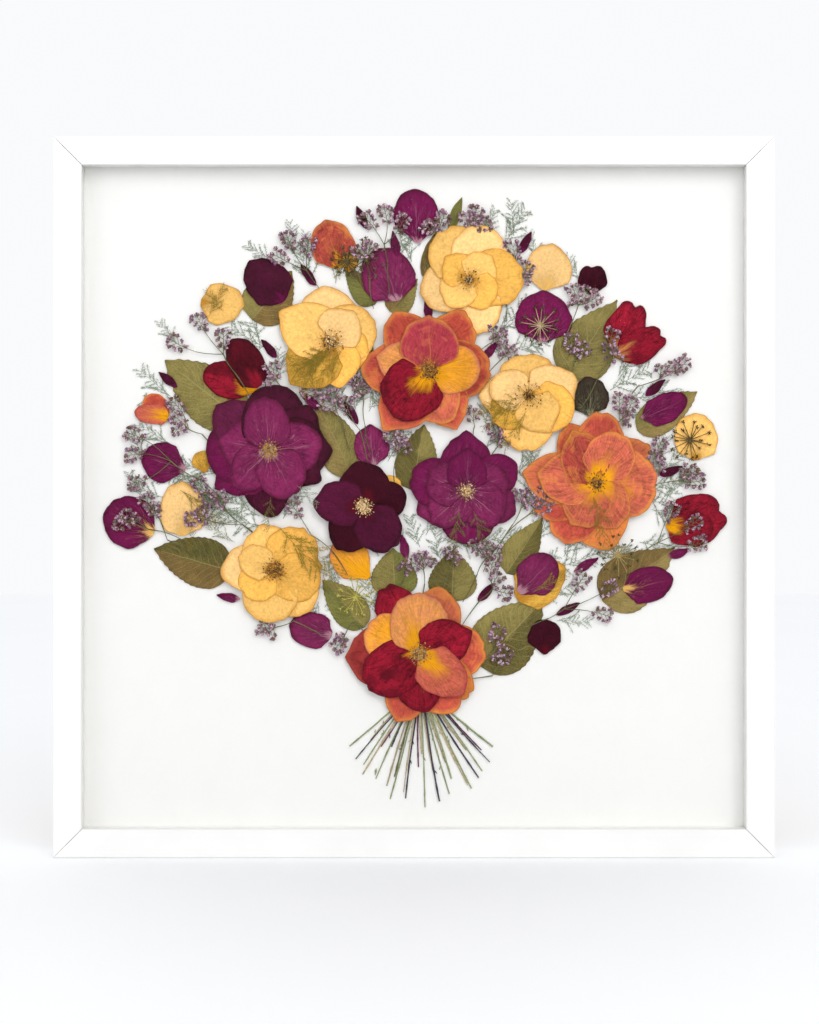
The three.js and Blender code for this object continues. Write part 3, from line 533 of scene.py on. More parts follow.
def displace(piece, direction, size, strength, basis="ORIGINAL_PERLIN"):
    """Pushes a surface about along one axis by a cloudy noise of the given size."""
    texture = bpy.data.textures.new("rumple", "CLOUDS")
    texture.noise_scale = size
    texture.noise_basis = basis
    texture.noise_depth = 1
    apply_modifier(piece, "DISPLACE", texture=texture, texture_coords="LOCAL", direction=direction,
                   strength=strength, mid_level=0.5)


def add_primitive(kind, name, **settings):
    """Adds a primitive, with its place and its turn in its mesh."""
    bpy.ops.object.select_all(action="DESELECT")
    getattr(bpy.ops.mesh, f"primitive_{kind}_add")(**settings)
    bpy.ops.object.transform_apply(location=True, rotation=True, scale=False)
    piece = bpy.context.object
    piece.name = name
    return piece


def add_grid(name, columns, rows):
    """A flat grid one unit long, from y = 0, with its vertices row by row."""
    return add_primitive("grid", name, x_subdivisions=columns, y_subdivisions=rows, size=1,
                         location=(0, 0.5, 0))


def add_cone(name, sides, foot, mouth):
    """A cone one unit long, from y = 0 along +y."""
    return add_primitive("cone", name, vertices=sides, radius1=foot, radius2=mouth, depth=1,
                         location=(0, 0.5, 0), rotation=(-math.pi / 2, 0, 0))


def keep_pattern(piece):
    """Takes the mesh of a finished pattern and clears its object away."""
    mesh = piece.data
    bpy.data.objects.remove(piece)
    return mesh


def outward(piece):
    """Merges doubles and turns every face out."""
    with editing(piece):
        bpy.ops.mesh.select_all(action="SELECT")
        bpy.ops.mesh.remove_doubles(threshold=SAME_PLACE)
        bpy.ops.mesh.normals_make_consistent(inside=False)


# ---- Patterns: each one modelled once, one unit long along +y and one unit wide -------------------

FAN_COLUMNS = 32
FAN_ROWS = 14
CLAW = 0.14  # width of a petal's narrow base
PETAL_SHEET = 0.006  # thickness over length


def wobble(draw, waves=5):
    """A smooth random curve over -1 to 1, for the waviness of a rim."""
    terms = [(draw.uniform(-1, 1) / (n + 1), draw.uniform(0, math.tau), n + 1) for n in range(1, waves)]
    return lambda share: sum(size * math.sin(turn + 2.2 * n * share) for size, turn, n in terms)


def fan_petal(name, angle, side, bend, ragged, notch=0.0, pleat=0.002):
    """A petal whose columns fan out from its base. side is the length of its straight sides."""
    draw = random.Random(name)
    wave = wobble(draw)
    piece = add_grid(name, FAN_COLUMNS, FAN_ROWS)
    with editing(piece) as mesh:
        verts = list(mesh.verts)
        bpy.ops.mesh.select_all(action="SELECT")
        bpy.ops.transform.resize(value=(CLAW, 1, 1), center_override=(0, 0, 0))
        for index in range(FAN_COLUMNS + 1):
            column = verts[index::FAN_COLUMNS + 1]
            share = 2 * index / FAN_COLUMNS - 1
            reach = 1 - (1 - side) * abs(share) ** bend - notch * math.exp(-(share / 0.09) ** 2)
            reach *= 1 + ragged * wave(share)
            base = column[0].co.copy()
            choose(mesh, column)
            bpy.ops.transform.rotate(value=math.radians(angle * share), orient_axis="Z", center_override=base)
            bpy.ops.transform.resize(value=(reach, reach, 1), center_override=base)
            fold = draw.gauss(0, pleat)
            move(mesh, column[FAN_ROWS * 2 // 3:], z=fold)
            move(mesh, column[FAN_ROWS // 3:FAN_ROWS * 2 // 3], z=fold * 0.5)
        wide = max(abs(vert.co.x) for vert in verts)
        tall = max(vert.co.y for vert in verts)
        bpy.ops.mesh.select_all(action="SELECT")
        bpy.ops.transform.resize(value=(0.5 / wide, 1 / tall, 1), center_override=(0, 0, 0))
    displace(piece, "Z", 0.3, 0.008)
    apply_modifier(piece, "SOLIDIFY", thickness=PETAL_SHEET, offset=0)
    return keep_pattern(piece)


LEAF_COLUMNS = 12
LEAF_ROWS = 26
LEAF_SHEET = 0.004
SERRATION = 0.012


def narrow(mesh, row, share, half):
    """Narrows one row of a grid to a part of its width."""
    choose(mesh, row)
    bpy.ops.transform.resize(value=(half, 1, 1), center_override=(0, share, 0))


def leaf_pattern(name, foot, tip, teeth=SERRATION):
    """A pointed leaf with a raised midrib and toothed edges. foot and tip say how sharp its ends are."""
    draw = random.Random(name)
    peak = foot / (foot + tip)
    piece = add_grid(name, LEAF_COLUMNS, LEAF_ROWS)
    with editing(piece) as mesh:
        verts = list(mesh.verts)
        wide = LEAF_COLUMNS + 1
        for index in range(LEAF_ROWS + 1):
            row = verts[index * wide:(index + 1) * wide]
            share = index / LEAF_ROWS
            half = max(0.02, (share / peak) ** foot * ((1 - share) / (1 - peak)) ** tip)
            narrow(mesh, row, share, half)
            if index % 2 and 0.1 < share < 0.95:
                move(mesh, [row[0]], x=-teeth, y=teeth)
                move(mesh, [row[-1]], x=teeth, y=teeth)
        for index in range(wide):
            across = abs(2 * index / LEAF_COLUMNS - 1)
            move(mesh, verts[index::wide], z=draw.gauss(0, 0.001) - 0.003 * across)
        move(mesh, verts[LEAF_COLUMNS // 2::wide], z=0.005)
    displace(piece, "Z", 0.35, 0.008)
    apply_modifier(piece, "SOLIDIFY", thickness=LEAF_SHEET, offset=0)
    return keep_pattern(piece)


STRAP_COLUMNS = 6
STRAP_ROWS = 12
STRAP_SHEET = 0.012


def strap_petal(name):
    """A slender petal, rounded at both ends, creased along the middle."""
    piece = add_grid(name, STRAP_COLUMNS, STRAP_ROWS)
    with editing(piece) as mesh:
        verts = list(mesh.verts)
        wide = STRAP_COLUMNS + 1
        for index in range(STRAP_ROWS + 1):
            share = index / STRAP_ROWS
            half = max(0.12, math.sin(math.pi * share ** 0.8) ** 0.75)
            narrow(mesh, verts[index * wide:(index + 1) * wide], share, half)
        move(mesh, verts[STRAP_COLUMNS // 2::wide], z=-STRAP_SHEET)
    apply_modifier(piece, "SOLIDIFY", thickness=STRAP_SHEET, offset=0)
    return keep_pattern(piece)


STEM_RINGS = 14
KNOT_SWELL = 1.35
KNOT_END = 0.74  # back from a knot to the stem
STEM_TAPER = 0.97


def stem_pattern(name):
    """A slightly crooked stem with two knots, extruded ring by ring."""
    draw = random.Random(name)
    piece = add_primitive("circle", name, vertices=7, radius=0.5, fill_type="NGON",
                          rotation=(math.pi / 2, 0, 0))
    knots = draw.sample(range(3, STEM_RINGS - 2), 2)
    lean = draw.uniform(-0.06, 0.06)
    with editing(piece):
        bpy.ops.mesh.select_all(action="SELECT")
        for ring in range(STEM_RINGS):
            lean += draw.uniform(-0.05, 0.05)
            bpy.ops.mesh.extrude_region_move(
                TRANSFORM_OT_translate={"value": (lean, 1 / STEM_RINGS, draw.uniform(-0.05, 0.05))})
            grow = KNOT_SWELL if ring in knots else STEM_TAPER
            if ring - 1 in knots:
                grow = KNOT_END
            bpy.ops.transform.resize(value=(grow, 1, grow))
    outward(piece)
    return keep_pattern(piece)


def needle_pattern(name, sides=3, tip=0.0):
    """A straight tapering needle along +y."""
    return keep_pattern(add_cone(name, sides, 0.5, tip * 0.5))


def floret_pattern(name):
    """A papery cup with a ragged rim, as a floret has: a cone whose mouth is pushed in."""
    draw = random.Random(name)
    piece = add_cone(name, 6, 0.16, 0.42)
    with editing(piece) as mesh:
        mouth = [face for face in mesh.faces if face.normal.y > 0.9]
        rim = list(mouth[0].verts)
        choose(mesh, mouth)
        bpy.ops.mesh.inset(thickness=0.14)
        bpy.ops.transform.translate(value=(0, -0.35, 0))
        for index, vert in enumerate(rim):
            move(mesh, [vert], y=draw.uniform(-0.05, 0.3) if index % 2 else draw.uniform(-0.3, 0))
    return keep_pattern(piece)


def grain_pattern(name):
    """A small rounded grain, such as an anther."""
    return keep_pattern(add_primitive("ico_sphere", name, subdivisions=1, radius=0.5))


FROND_BRANCHES = 15
NEEDLE_SPACING = 0.0078  # along a side branch, over the length of the frond


def frond_pattern(name, needle):
    """A wisp of asparagus fern: a midrib, loose side branches and soft tufts of fine needles."""
    draw = random.Random(name)
    copies = [(needle, laid_flat((0, 0), 90, 1, 0.015), {})]
    for number in range(FROND_BRANCHES):
        side = 1 if number % 2 else -1
        start = 0.04 + 0.92 * (number + draw.random()) / FROND_BRANCHES
        reach = 0.42 * (1 - start) ** 0.55 * draw.uniform(0.5, 1.15) + 0.05
        turn = 90 - side * draw.uniform(18, 64)
        copies.append((needle, laid_flat((0, start), turn, reach, 0.009), {}))
        aim = math.radians(turn)
        branch = Vector((math.cos(aim), math.sin(aim))) * reach
        for _ in range(int(reach / NEEDLE_SPACING)):
            foot = Vector((0, start)) + branch * draw.uniform(0.02, 1.05)
            angle = turn + draw.gauss(0, 48)
            copies.append((needle, laid_flat(foot, angle, draw.uniform(0.035, 0.085), 0.0075), {}))
    return joined_mesh(name, copies)


def laid_flat(at, turn, length, width):
    """Places a pattern in the plane of another pattern."""
    size = Matrix.Diagonal((width, length, width, 1))
    return Matrix.Translation((*at, 0)) @ Matrix.Rotation(math.radians(turn - 90), 4, "Z") @ size


def lay(at, turn, length, width, level, curl=0.0, droop=0.0, thickness=None):
    """Places a pattern on the sheet, in millimetres. Its left edge rises by curl, its tip falls by droop."""
    size = Matrix.Diagonal((width, length, thickness or length, 1))
    tilt = Matrix.Identity(4)
    tilt[2][0] = -curl / width
    tilt[2][1] = -droop / length
    spin = Matrix.Rotation(math.radians(turn - 90), 4, "Z")
    return SHEET @ Matrix.Translation((*at, level)) @ spin @ tilt @ size


def polar(at, aim, length):
    """The point at a length from another, in a direction in radians."""
    return at[0] + length * math.cos(aim), at[1] + length * math.sin(aim)


def arrays(mesh):
    """Points, corners, first corner of each face, and UVs of a pattern."""
    points = np.empty(len(mesh.vertices) * 3)
    mesh.vertices.foreach_get("co", points)
    corners = np.empty(len(mesh.loops), int)
    mesh.loops.foreach_get("vertex_index", corners)
    starts = np.empty(len(mesh.polygons), int)
    mesh.polygons.foreach_get("loop_start", starts)
    uvs = np.zeros(len(mesh.loops) * 2)
    if mesh.uv_layers:
        mesh.uv_layers.active.uv.foreach_get("vector", uvs)
    return points.reshape(-1, 3), corners, starts, uvs.reshape(-1, 2)


PAINTS = ("body", "rim", "heart", "traits")


def joined_mesh(name, copies):
    """One mesh of many copies of patterns. A copy is its pattern, its matrix and its paints."""
    points, corners, starts, uvs = [], [], [], []
    paints = {paint: [] for paint in PAINTS}
    known = {}
    point_count = corner_count = 0
    for pattern, matrix, paint in copies:
        if pattern.name not in known:
            known[pattern.name] = arrays(pattern)
        own_points, own_corners, own_starts, own_uvs = known[pattern.name]
        turn = np.array(matrix)
        points.append(own_points @ turn[:3, :3].T + turn[:3, 3])
        corners.append(own_corners + point_count)
        starts.append(own_starts + corner_count)
        uvs.append(own_uvs)
        for key in PAINTS:
            paints[key].append(np.tile(paint.get(key, (0, 0, 0, 0)), (len(own_points), 1)))
        point_count += len(own_points)
        corner_count += len(own_corners)
    mesh = bpy.data.meshes.new(name)
    mesh.vertices.add(point_count)
    mesh.vertices.foreach_set("co", np.concatenate(points).ravel())
    mesh.loops.add(corner_count)
    mesh.loops.foreach_set("vertex_index", np.concatenate(corners))
    all_starts = np.concatenate(starts)
    mesh.polygons.add(len(all_starts))
    mesh.polygons.foreach_set("loop_start", all_starts)
    mesh.uv_layers.new(name="UVMap").uv.foreach_set("vector", np.concatenate(uvs).ravel())
    for key in PAINTS:
        layer = mesh.attributes.new(key, "FLOAT_COLOR", "POINT")
        layer.data.foreach_set("color", np.concatenate(paints[key]).ravel())
    mesh.update(calc_edges=True)
    return mesh


def piece_of(name, copies, finish, smooth=50):
    """An object of joined copies in one of the dry finishes, which rides on the frame."""
    piece = bpy.data.objects.new(name, joined_mesh(name, copies))
    bpy.context.scene.collection.objects.link(piece)
    piece.data.materials.append(finishes()[finish])
    only(piece)
    bpy.ops.object.shade_smooth_by_angle(angle=math.radians(smooth))
    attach(piece, "root")
    return piece


def rumple(piece, spread=0.0035):
    """Makes each rim and face uneven in its own way."""
    displace(piece, "X", 0.011, spread)
    displace(piece, "Z", 0.010, spread, "IMPROVED_PERLIN")
    displace(piece, "X", 0.004, spread * 0.35, "IMPROVED_PERLIN")
    displace(piece, "Z", 0.004, spread * 0.35)
    displace(piece, "Y", 0.012, 0.0010)
    displace(piece, "Y", 0.005, 0.0005, "IMPROVED_PERLIN")


# ---- Finishes ------------------------------------------------------------------------------------

class Finish:
    """A material, built node by node."""

    def __init__(self, name):
        self.material = bpy.data.materials.new(name)
        self.material.use_nodes = True
        self.tree = self.material.node_tree
        self.tree.nodes.clear()
        self.output = self.node("ShaderNodeOutputMaterial")

    def node(self, kind, inputs=(), **settings):
        made = self.tree.nodes.new(kind)
        for key, value in settings.items():
            setattr(made, key, value)
        for key, value in dict(inputs).items():
            if isinstance(value, bpy.types.NodeSocket):
                self.tree.links.new(value, made.inputs[key])
            else:
                made.inputs[key].default_value = value
        return made

    def math(self, operation, a, b=0.0):
        return self.node("ShaderNodeMath", {0: a, 1: b}, operation=operation).outputs[0]

    def times(self, a, b):
        return self.math("MULTIPLY", a, b)

    def most(self, a, b):
        return self.math("MAXIMUM", a, b)

    def off_middle(self, value):
        """How far a value from 0 to 1 is from its middle."""
        return self.math("ABSOLUTE", self.math("SUBTRACT", value, 0.5))

    def band(self, value, low, high, to_low=0.0, to_high=1.0):
        """Rises smoothly from to_low to to_high as the value goes from low to high."""
        made = self.node("ShaderNodeMapRange", {0: value, 1: low, 2: high, 3: to_low, 4: to_high},
                         interpolation_type="SMOOTHSTEP")
        return made.outputs[0]

    def blend(self, share, a, b, kind="MIX"):
        made = self.node("ShaderNodeMix", {0: share, 6: a, 7: b}, data_type="RGBA", blend_type=kind)
        return made.outputs[2]

    def grey(self, value):
        return self.node("ShaderNodeCombineColor", {0: value, 1: value, 2: value}).outputs[0]

    def shaded(self, colour, tone):
        """A colour made lighter or darker by a tone."""
        return self.blend(1.0, colour, self.grey(tone), "MULTIPLY")

    def vector(self, x, y, z):
        return self.node("ShaderNodeCombineXYZ", {0: x, 1: y, 2: z}).outputs[0]

    def swing(self, value):
        """Stretches a noise to run from -0.5 to 0.5."""
        return self.node("ShaderNodeMapRange", {0: value, 1: 0.32, 2: 0.68, 3: -0.5, 4: 0.5}).outputs[0]

    def total(self, start, *terms):
        """Adds weighted values to a start."""
        for value, weight in terms:
            start = self.math("ADD", start, self.times(value, weight))
        return start

    def noise(self, where, scale=1.0, detail=2.0):
        made = self.node("ShaderNodeTexNoise", {"Vector": where, "Scale": scale, "Detail": detail})
        return made.outputs[0]

    def paint(self, name, part="Color"):
        return self.node("ShaderNodeAttribute", attribute_name=name).outputs[part]

    def place(self):
        return self.node("ShaderNodeTexCoord").outputs["Object"]

    def stretched_place(self, scale):
        return self.node("ShaderNodeMapping", {"Vector": self.place(), "Scale": scale}).outputs[0]

    def across_and_along(self):
        own = self.node("ShaderNodeUVMap", uv_map="UVMap").outputs[0]
        split = self.node("ShaderNodeSeparateXYZ", {0: own})
        return split.outputs[0], split.outputs[1]

    def finish(self, colour, roughness, height=None, depth=0.0003, strength=0.5, **more):
        shader = self.node("ShaderNodeBsdfPrincipled", {"Base Color": colour, "Roughness": roughness})
        for key, value in more.items():
            shader.inputs[key.replace("_", " ")].default_value = value
        if height is not None:
            bump = self.node("ShaderNodeBump", {"Strength": strength, "Distance": depth, "Height": height})
            self.tree.links.new(bump.outputs[0], shader.inputs["Normal"])
        self.tree.links.new(shader.outputs[0], self.output.inputs["Surface"])
        return self.material


def rgba(colour):
    return (*colour, 1.0)


SEED_SPREAD = 60  # how far apart two pieces read the noises
# Dark brown for the dried rim of a petal, which also stands for painted shade along that edge
PETAL_RIM_BROWN_AND_SHADE = (0.07, 0.02, 0.01, 1.0)
LEAF_RIM_BROWN = (0.09, 0.05, 0.02, 1.0)
DUST_GREY = (0.16, 0.15, 0.14, 1.0)


def petal_finish(name, pale_veins):
    """Dry petal: veins fan out from a tinted base, the face is mottled and the rim has its own colour.
    Painted shade darkens the base, the creases and a thin line along the rim; painted light brightens the
    outer part.
    """
    f = Finish(name)
    across, along = f.across_and_along()
    traits = f.node("ShaderNodeSeparateColor", {0: f.paint("traits")})
    reach, veins, mottle = traits.outputs[0], traits.outputs[1], traits.outputs[2]
    seed = f.times(f.paint("traits", "Alpha"), SEED_SPREAD)
    side = f.off_middle(across)

    def grain(wide, tall):
        """A noise that changes this often across and along the petal."""
        return f.noise(f.vector(f.times(across, wide), f.times(along, tall), seed))

    def lines_of(noise, width):
        """Thin lines where a noise is at its middle."""
        return f.band(f.off_middle(noise), 0.0, width, 1.0, 0.0)

    fine = f.swing(grain(75, 4))
    ribs = lines_of(grain(17, 1.6), 0.03)
    broad = f.swing(grain(4, 1.6))
    rings = f.swing(grain(3.5, 24))
    folds = lines_of(grain(10, 2.4), 0.05)
    stain = f.band(f.noise(f.place(), 50, 3), 0.54, 0.68)
    blotch = f.swing(f.noise(f.place(), 85, 4))
    crumpled = f.band(mottle, 0.5, 0.8)
    arcs = f.times(lines_of(grain(2.2, 13), 0.045), crumpled)
    speck = f.swing(f.noise(f.place(), 460, 2))

    # Beside random specks, the tone is darker at the petal's base, where other petals overlap it, and lighter
    # over its outer part: painted shade and painted light.
    tone = f.total(0.88, (speck, 0.24), (f.band(along, 0.1, 0.65), 0.24))
    lined = f.total(0.0, (fine, 0.55), (rings, 0.3))
    # The face is mottled at random, and darker along its folds and arcs: painted shade in the creases.
    mottling_and_crease_shade = f.total(0.0, (blotch, 0.55), (broad, 0.45), (folds, -0.4))
    tone = f.total(tone, (veins, lined), (mottle, mottling_and_crease_shade), (arcs, -0.3))
    body = f.shaded(f.paint("body"), tone)
    rim = f.paint("rim")
    patches = f.times(mottle, f.band(f.total(0.0, (blotch, 0.7), (rings, 0.4)), 0.1, 0.4, 0.0, 0.8))
    patches = f.most(patches, f.times(crumpled, f.times(stain, 0.75)))
    body = f.blend(patches, body, rim)

    frayed = f.math("ADD", along, f.total(0.0, (fine, 0.16), (broad, 0.22), (blotch, 0.1)))
    base = f.band(frayed, f.times(reach, 0.3), reach, 1.0, 0.0)
    heart = f.paint("heart")
    body = f.blend(base, body, f.shaded(heart, f.total(1.0, (fine, 0.4))))

    lines = f.most(f.band(side, 0.0, 0.018, 0.8, 0.0), f.times(ribs, 0.6))
    fading = f.times(f.band(f.total(0.0, (along, 1.0), (fine, 0.3)), 0.25, 0.95, 1.0, 0.0), veins)
    body = f.blend(f.times(lines, f.times(fading, 0.85)), body, heart if pale_veins else rim)

    edge = f.most(f.band(along, 0.88, 1.0), f.band(side, 0.46, 0.5))
    body = f.blend(f.times(edge, f.total(0.6, (blotch, 0.5))), body, rim)
    # A thin dark line along the very rim: partly the dried brown edge, partly painted shade at the petal's
    # edge.
    line = f.most(f.band(along, 0.975, 0.998, 0.0, 0.35), f.band(side, 0.49, 0.5, 0.0, 0.35))
    body = f.blend(line, body, PETAL_RIM_BROWN_AND_SHADE)

    height = f.total(0.0, (fine, 0.4), (ribs, -0.3), (speck, 0.35), (rings, 0.5), (blotch, 0.8))
    height = f.total(height, (folds, f.times(mottle, -1.6)), (arcs, -1.0))
    return f.finish(body, 0.62, height, 0.00025, 0.75, Specular_IOR_Level=0.1)


def leaf_finish(name):
    """Dry leaf: a midrib, side veins that run towards the tip, a fine net between them."""
    f = Finish(name)
    across, along = f.across_and_along()
    seed = f.times(f.paint("traits", "Alpha"), SEED_SPREAD)
    side = f.off_middle(across)
    blotch = f.noise(f.place(), 70, 4)
    grain = f.noise(f.place(), 700, 3)
    drift = f.times(f.math("SUBTRACT", f.noise(f.place(), 60), 0.5), 0.16)
    climb = f.math("SUBTRACT", f.math("ADD", along, drift), f.times(side, 0.5))
    saw = f.math("PINGPONG", f.math("ADD", f.times(climb, 10), seed), 0.5)
    side_veins = f.band(saw, 0.0, 0.07, 1.0, 0.0)
    cells = f.vector(f.times(across, 26), f.times(along, 40), seed)
    net = f.node("ShaderNodeTexVoronoi", {"Vector": cells, "Scale": 1.0}, feature="DISTANCE_TO_EDGE")
    net = f.band(net.outputs[0], 0.0, 0.12, 0.35, 0.0)
    midrib = f.band(side, 0.0, 0.018, 1.0, 0.0)
    veins = f.most(midrib, f.most(f.times(side_veins, 0.7), net))

    half = f.band(f.math("ADD", across, f.times(f.math("SUBTRACT", blotch, 0.5), 0.5)), 0.42, 0.58)
    body = f.blend(half, f.paint("body"), f.paint("rim"))
    streaks = f.swing(f.noise(f.vector(f.times(across, 8), f.times(climb, 34), seed)))
    body = f.shaded(body, f.total(1.0, (f.swing(blotch), 0.42), (f.swing(grain), 0.3), (streaks, 0.3)))
    body = f.blend(f.times(veins, 0.5), body, f.paint("heart"))
    edge = f.most(f.band(along, 0.95, 1.0), f.band(side, 0.46, 0.5))
    body = f.blend(f.times(edge, 0.45), body, LEAF_RIM_BROWN)
    height = f.math("ADD", f.times(veins, 1.2), grain)
    return f.finish(body, 0.62, height, 0.0003, 0.6, Specular_IOR_Level=0.15)


def dry_finish(name, fleck, size):
    """Stems, florets, fern and stamens: their own colour, flecked."""
    f = Finish(name)
    flecks = f.noise(f.place(), size, 3)
    body = f.shaded(f.paint("body"), f.total(1.0, (f.math("SUBTRACT", flecks, 0.5), fleck * 2)))
    return f.finish(body, 0.75, flecks, 0.0002, 0.5, Specular_IOR_Level=0.2)


def lacquer_finish(name, colour, along):
    """Sprayed and rubbed white lacquer: faint strokes along the rail and a soft unevenness."""
    f = Finish(name)
    strokes = f.noise(f.stretched_place((14, 14, 700) if along == "X" else (700, 14, 14)), 1.0, 3)
    cloud = f.noise(f.place(), 22, 3)
    body = f.shaded(rgba(colour), f.band(cloud, 0.25, 0.75, 0.965, 1.0))
    height = f.math("ADD", strokes, f.times(f.noise(f.place(), 900, 2), 0.5))
    return f.finish(body, f.band(cloud, 0.3, 0.7, 0.32, 0.42), height, 0.00006, 0.35)


def paper_finish(name, colour, fibre=0.03, roughness=0.9, depth=0.00008):
    """Board, card or paper with a fine fibre and a slight tooth."""
    f = Finish(name)
    tooth = f.noise(f.place(), 1500, 4)
    cloud = f.noise(f.place(), 45, 4)
    streak = f.noise(f.stretched_place((240, 60, 1400)), 1.0, 3)
    mixed = f.math("ADD", f.times(tooth, 0.4), f.math("ADD", f.times(cloud, 0.3), f.times(streak, 0.3)))
    body = f.shaded(rgba(colour), f.band(mixed, 0.35, 0.65, 1 - 2 * fibre, 1.0))
    return f.finish(body, roughness, tooth, depth, 0.4, Specular_IOR_Level=0.2)


def glass_finish(name):
    """Clear picture glass with a full anti-reflection coat that lets the studio light through."""
    f = Finish(name)
    glass = f.node("ShaderNodeBsdfPrincipled", {
        "Base Color": (1, 1, 1, 1), "Roughness": 0.0, "IOR": 1.45, "Transmission Weight": 1.0,
        "Specular Tint": (0, 0, 0, 1)})
    clear = f.node("ShaderNodeBsdfTransparent")
    ray = f.node("ShaderNodeLightPath").outputs["Is Shadow Ray"]
    mixed = f.node("ShaderNodeMixShader", {0: ray, 1: glass.outputs[0], 2: clear.outputs[0]})
    f.tree.links.new(mixed.outputs[0], f.output.inputs["Surface"])
    return f.material


def steel_finish(name, colour):
    f = Finish(name)
    spangle = f.node("ShaderNodeTexVoronoi", {"Vector": f.place(), "Scale": 420.0}).outputs[0]
    scratch = f.noise(f.stretched_place((120, 900, 2600)), 1.0, 3)
    body = f.shaded(rgba(colour), f.band(spangle, 0.0, 0.8, 0.86, 1.0))
    return f.finish(body, f.band(scratch, 0.3, 0.7, 0.28, 0.48), scratch, 0.00003, 0.3, Metallic=1.0)


def rubber_finish(name, colour):
    f = Finish(name)
    dust = f.noise(f.place(), 300, 4)
    body = f.blend(f.band(dust, 0.5, 0.8, 0.0, 0.35), rgba(colour), DUST_GREY)
    return f.finish(body, 0.85, f.noise(f.place(), 2500, 2), 0.00004, 0.4)


# ---- Pieces --------------------------------------------------------------------------------------

PETAL_PATTERNS = {
    # angle of the fan, length of the straight sides, bend of the rim, raggedness, notch
    "round_petal": (74, 0.50, 2.4, 0.035, -0.02),
    "broad_petal": (70, 0.60, 2.6, 0.045, -0.04),
    "ruffled_petal": (72, 0.54, 2.2, 0.075),
    "notched_petal": (68, 0.60, 2.6, 0.05, 0.05),
    "tipped_petal": (70, 0.52, 2.0, 0.035, -0.07),
    "oval_petal": (64, 0.46, 1.8, 0.03),
    "wedge_petal": (54, 0.60, 2.3, 0.035),
    "ragged_petal": (60, 0.62, 2.4, 0.085, 0.06),
}
# Sharpness of the foot and of the tip, then the size of the teeth
LEAF_PATTERNS = {"broad_leaf": (0.5, 1.15), "oval_leaf": (0.5, 0.95), "narrow_leaf": (0.7, 0.9, 0.004)}
NARROW_LEAF = 15  # mm, under which a leaf has the narrow pattern
STEM_PATTERNS = 5
FLORET_PATTERNS = 3
FROND_PATTERNS = 3

MADE_PATTERNS = {}
MADE_FINISHES = {}


def patterns():
    """The patterns, made when they are first asked for."""
    made = MADE_PATTERNS
    if not made:
        for name, shape in PETAL_PATTERNS.items():
            made[name] = fan_petal(name, *shape)
        for name, shape in LEAF_PATTERNS.items():
            made[name] = leaf_pattern(name, *shape)
        made["strap_petal"] = strap_petal("strap_petal")
        for number in range(STEM_PATTERNS):
            made[f"stem_{number}"] = stem_pattern(f"stem_{number}")
        made["needle"] = needle_pattern("needle")
        made["ray"] = needle_pattern("ray", 5, 0.6)
        for number in range(FLORET_PATTERNS):
            made[f"floret_{number}"] = floret_pattern(f"floret_{number}")
        made["grain"] = grain_pattern("grain")
        for number in range(FROND_PATTERNS):
            made[f"frond_{number}"] = frond_pattern(f"frond_{number}", made["needle"])
    return made


def finishes():
    """The dry finishes by slot, made once."""
    made = MADE_FINISHES
    if not made:
        for slot in ("cream", "orange", "crimson", "plum", "burgundy"):
            made[f"{slot}_petal"] = petal_finish(f"{slot}_petal", slot in ("plum", "burgundy"))
        for slot in ("olive_leaf", "brown_leaf"):
            made[slot] = leaf_finish(slot)
        made["stamens"] = dry_finish("stamens", 0.7, 1400)
        made["sea_lavender"] = dry_finish("sea_lavender", 0.8, 1000)
        made["fern"] = dry_finish("fern", 0.5, 700)
        made["dry_stem"] = dry_finish("dry_stem", 0.7, 500)
    return made


def tinted(colours, names, light):
    """Named colours of one group, all made lighter or darker by a factor."""
    return [rgba(tuple(part * light for part in getattr(colours, name))) for name in names]


def petal_paint(look, draw):
    """Paints of one petal: the colours of its look, each a little lighter or darker than the next petal's."""
    *names, reach, veins, mottle = LOOKS[look]
    paints = tinted(bpy.context.scene.petal_colours, names, draw.uniform(0.88, 1.12))
    paints.append((reach * draw.uniform(0.85, 1.15), veins, mottle, draw.random()))
    return dict(zip(PAINTS, paints))


def plain_paint(name, draw, spread=0.2):
    light = draw.uniform(1 - spread, 1 + spread)
    return {"body": tinted(bpy.context.scene.plant_colours, [name], light)[0]}


def leaf_paint(left, right, draw):
    paints = tinted(bpy.context.scene.plant_colours, (left, right, "vein"), draw.uniform(0.9, 1.1))
    paints.append((0, 0, 0, draw.random()))
    return dict(zip(PAINTS, paints))


ROUND_PATTERNS = ("round_petal", "broad_petal", "ruffled_petal", "notched_petal", "tipped_petal")
LOOSE_PATTERNS = ("wedge_petal", "broad_petal", "oval_petal", "round_petal")
CRUMPLED_LOOKS = ("rose", "wrinkled", "frilled")

# Flower centres: colours of the grains, radius of the button, number of grains, stamens, their reach
BOSSES = {
    "specked": (("boss_tan", "boss_pale", "boss_dark", "boss_gold"), 7, 110, 30, 10),
    "sepal": (("boss_dark", "boss_tan"), 4, 45, 26, 8),
    "golden": (("boss_gold", "boss_brown", "boss_brown", "boss_dark"), 7, 150, 34, 9),
    "scattered": (("boss_dark", "boss_gold"), 5, 40, 34, 11),
    "brown": (("boss_brown", "boss_dark", "boss_gold"), 5, 90, 26, 7.5),
    "tan": (("boss_tan", "boss_gold", "boss_brown"), 6, 120, 40, 9),
    "disc": (("boss_tan", "boss_brown", "boss_pale"), 4.5, 90, 40, 7.5),
    "pale": (("boss_pale", "boss_tan"), 6.5, 120, 30, 8.5),
}


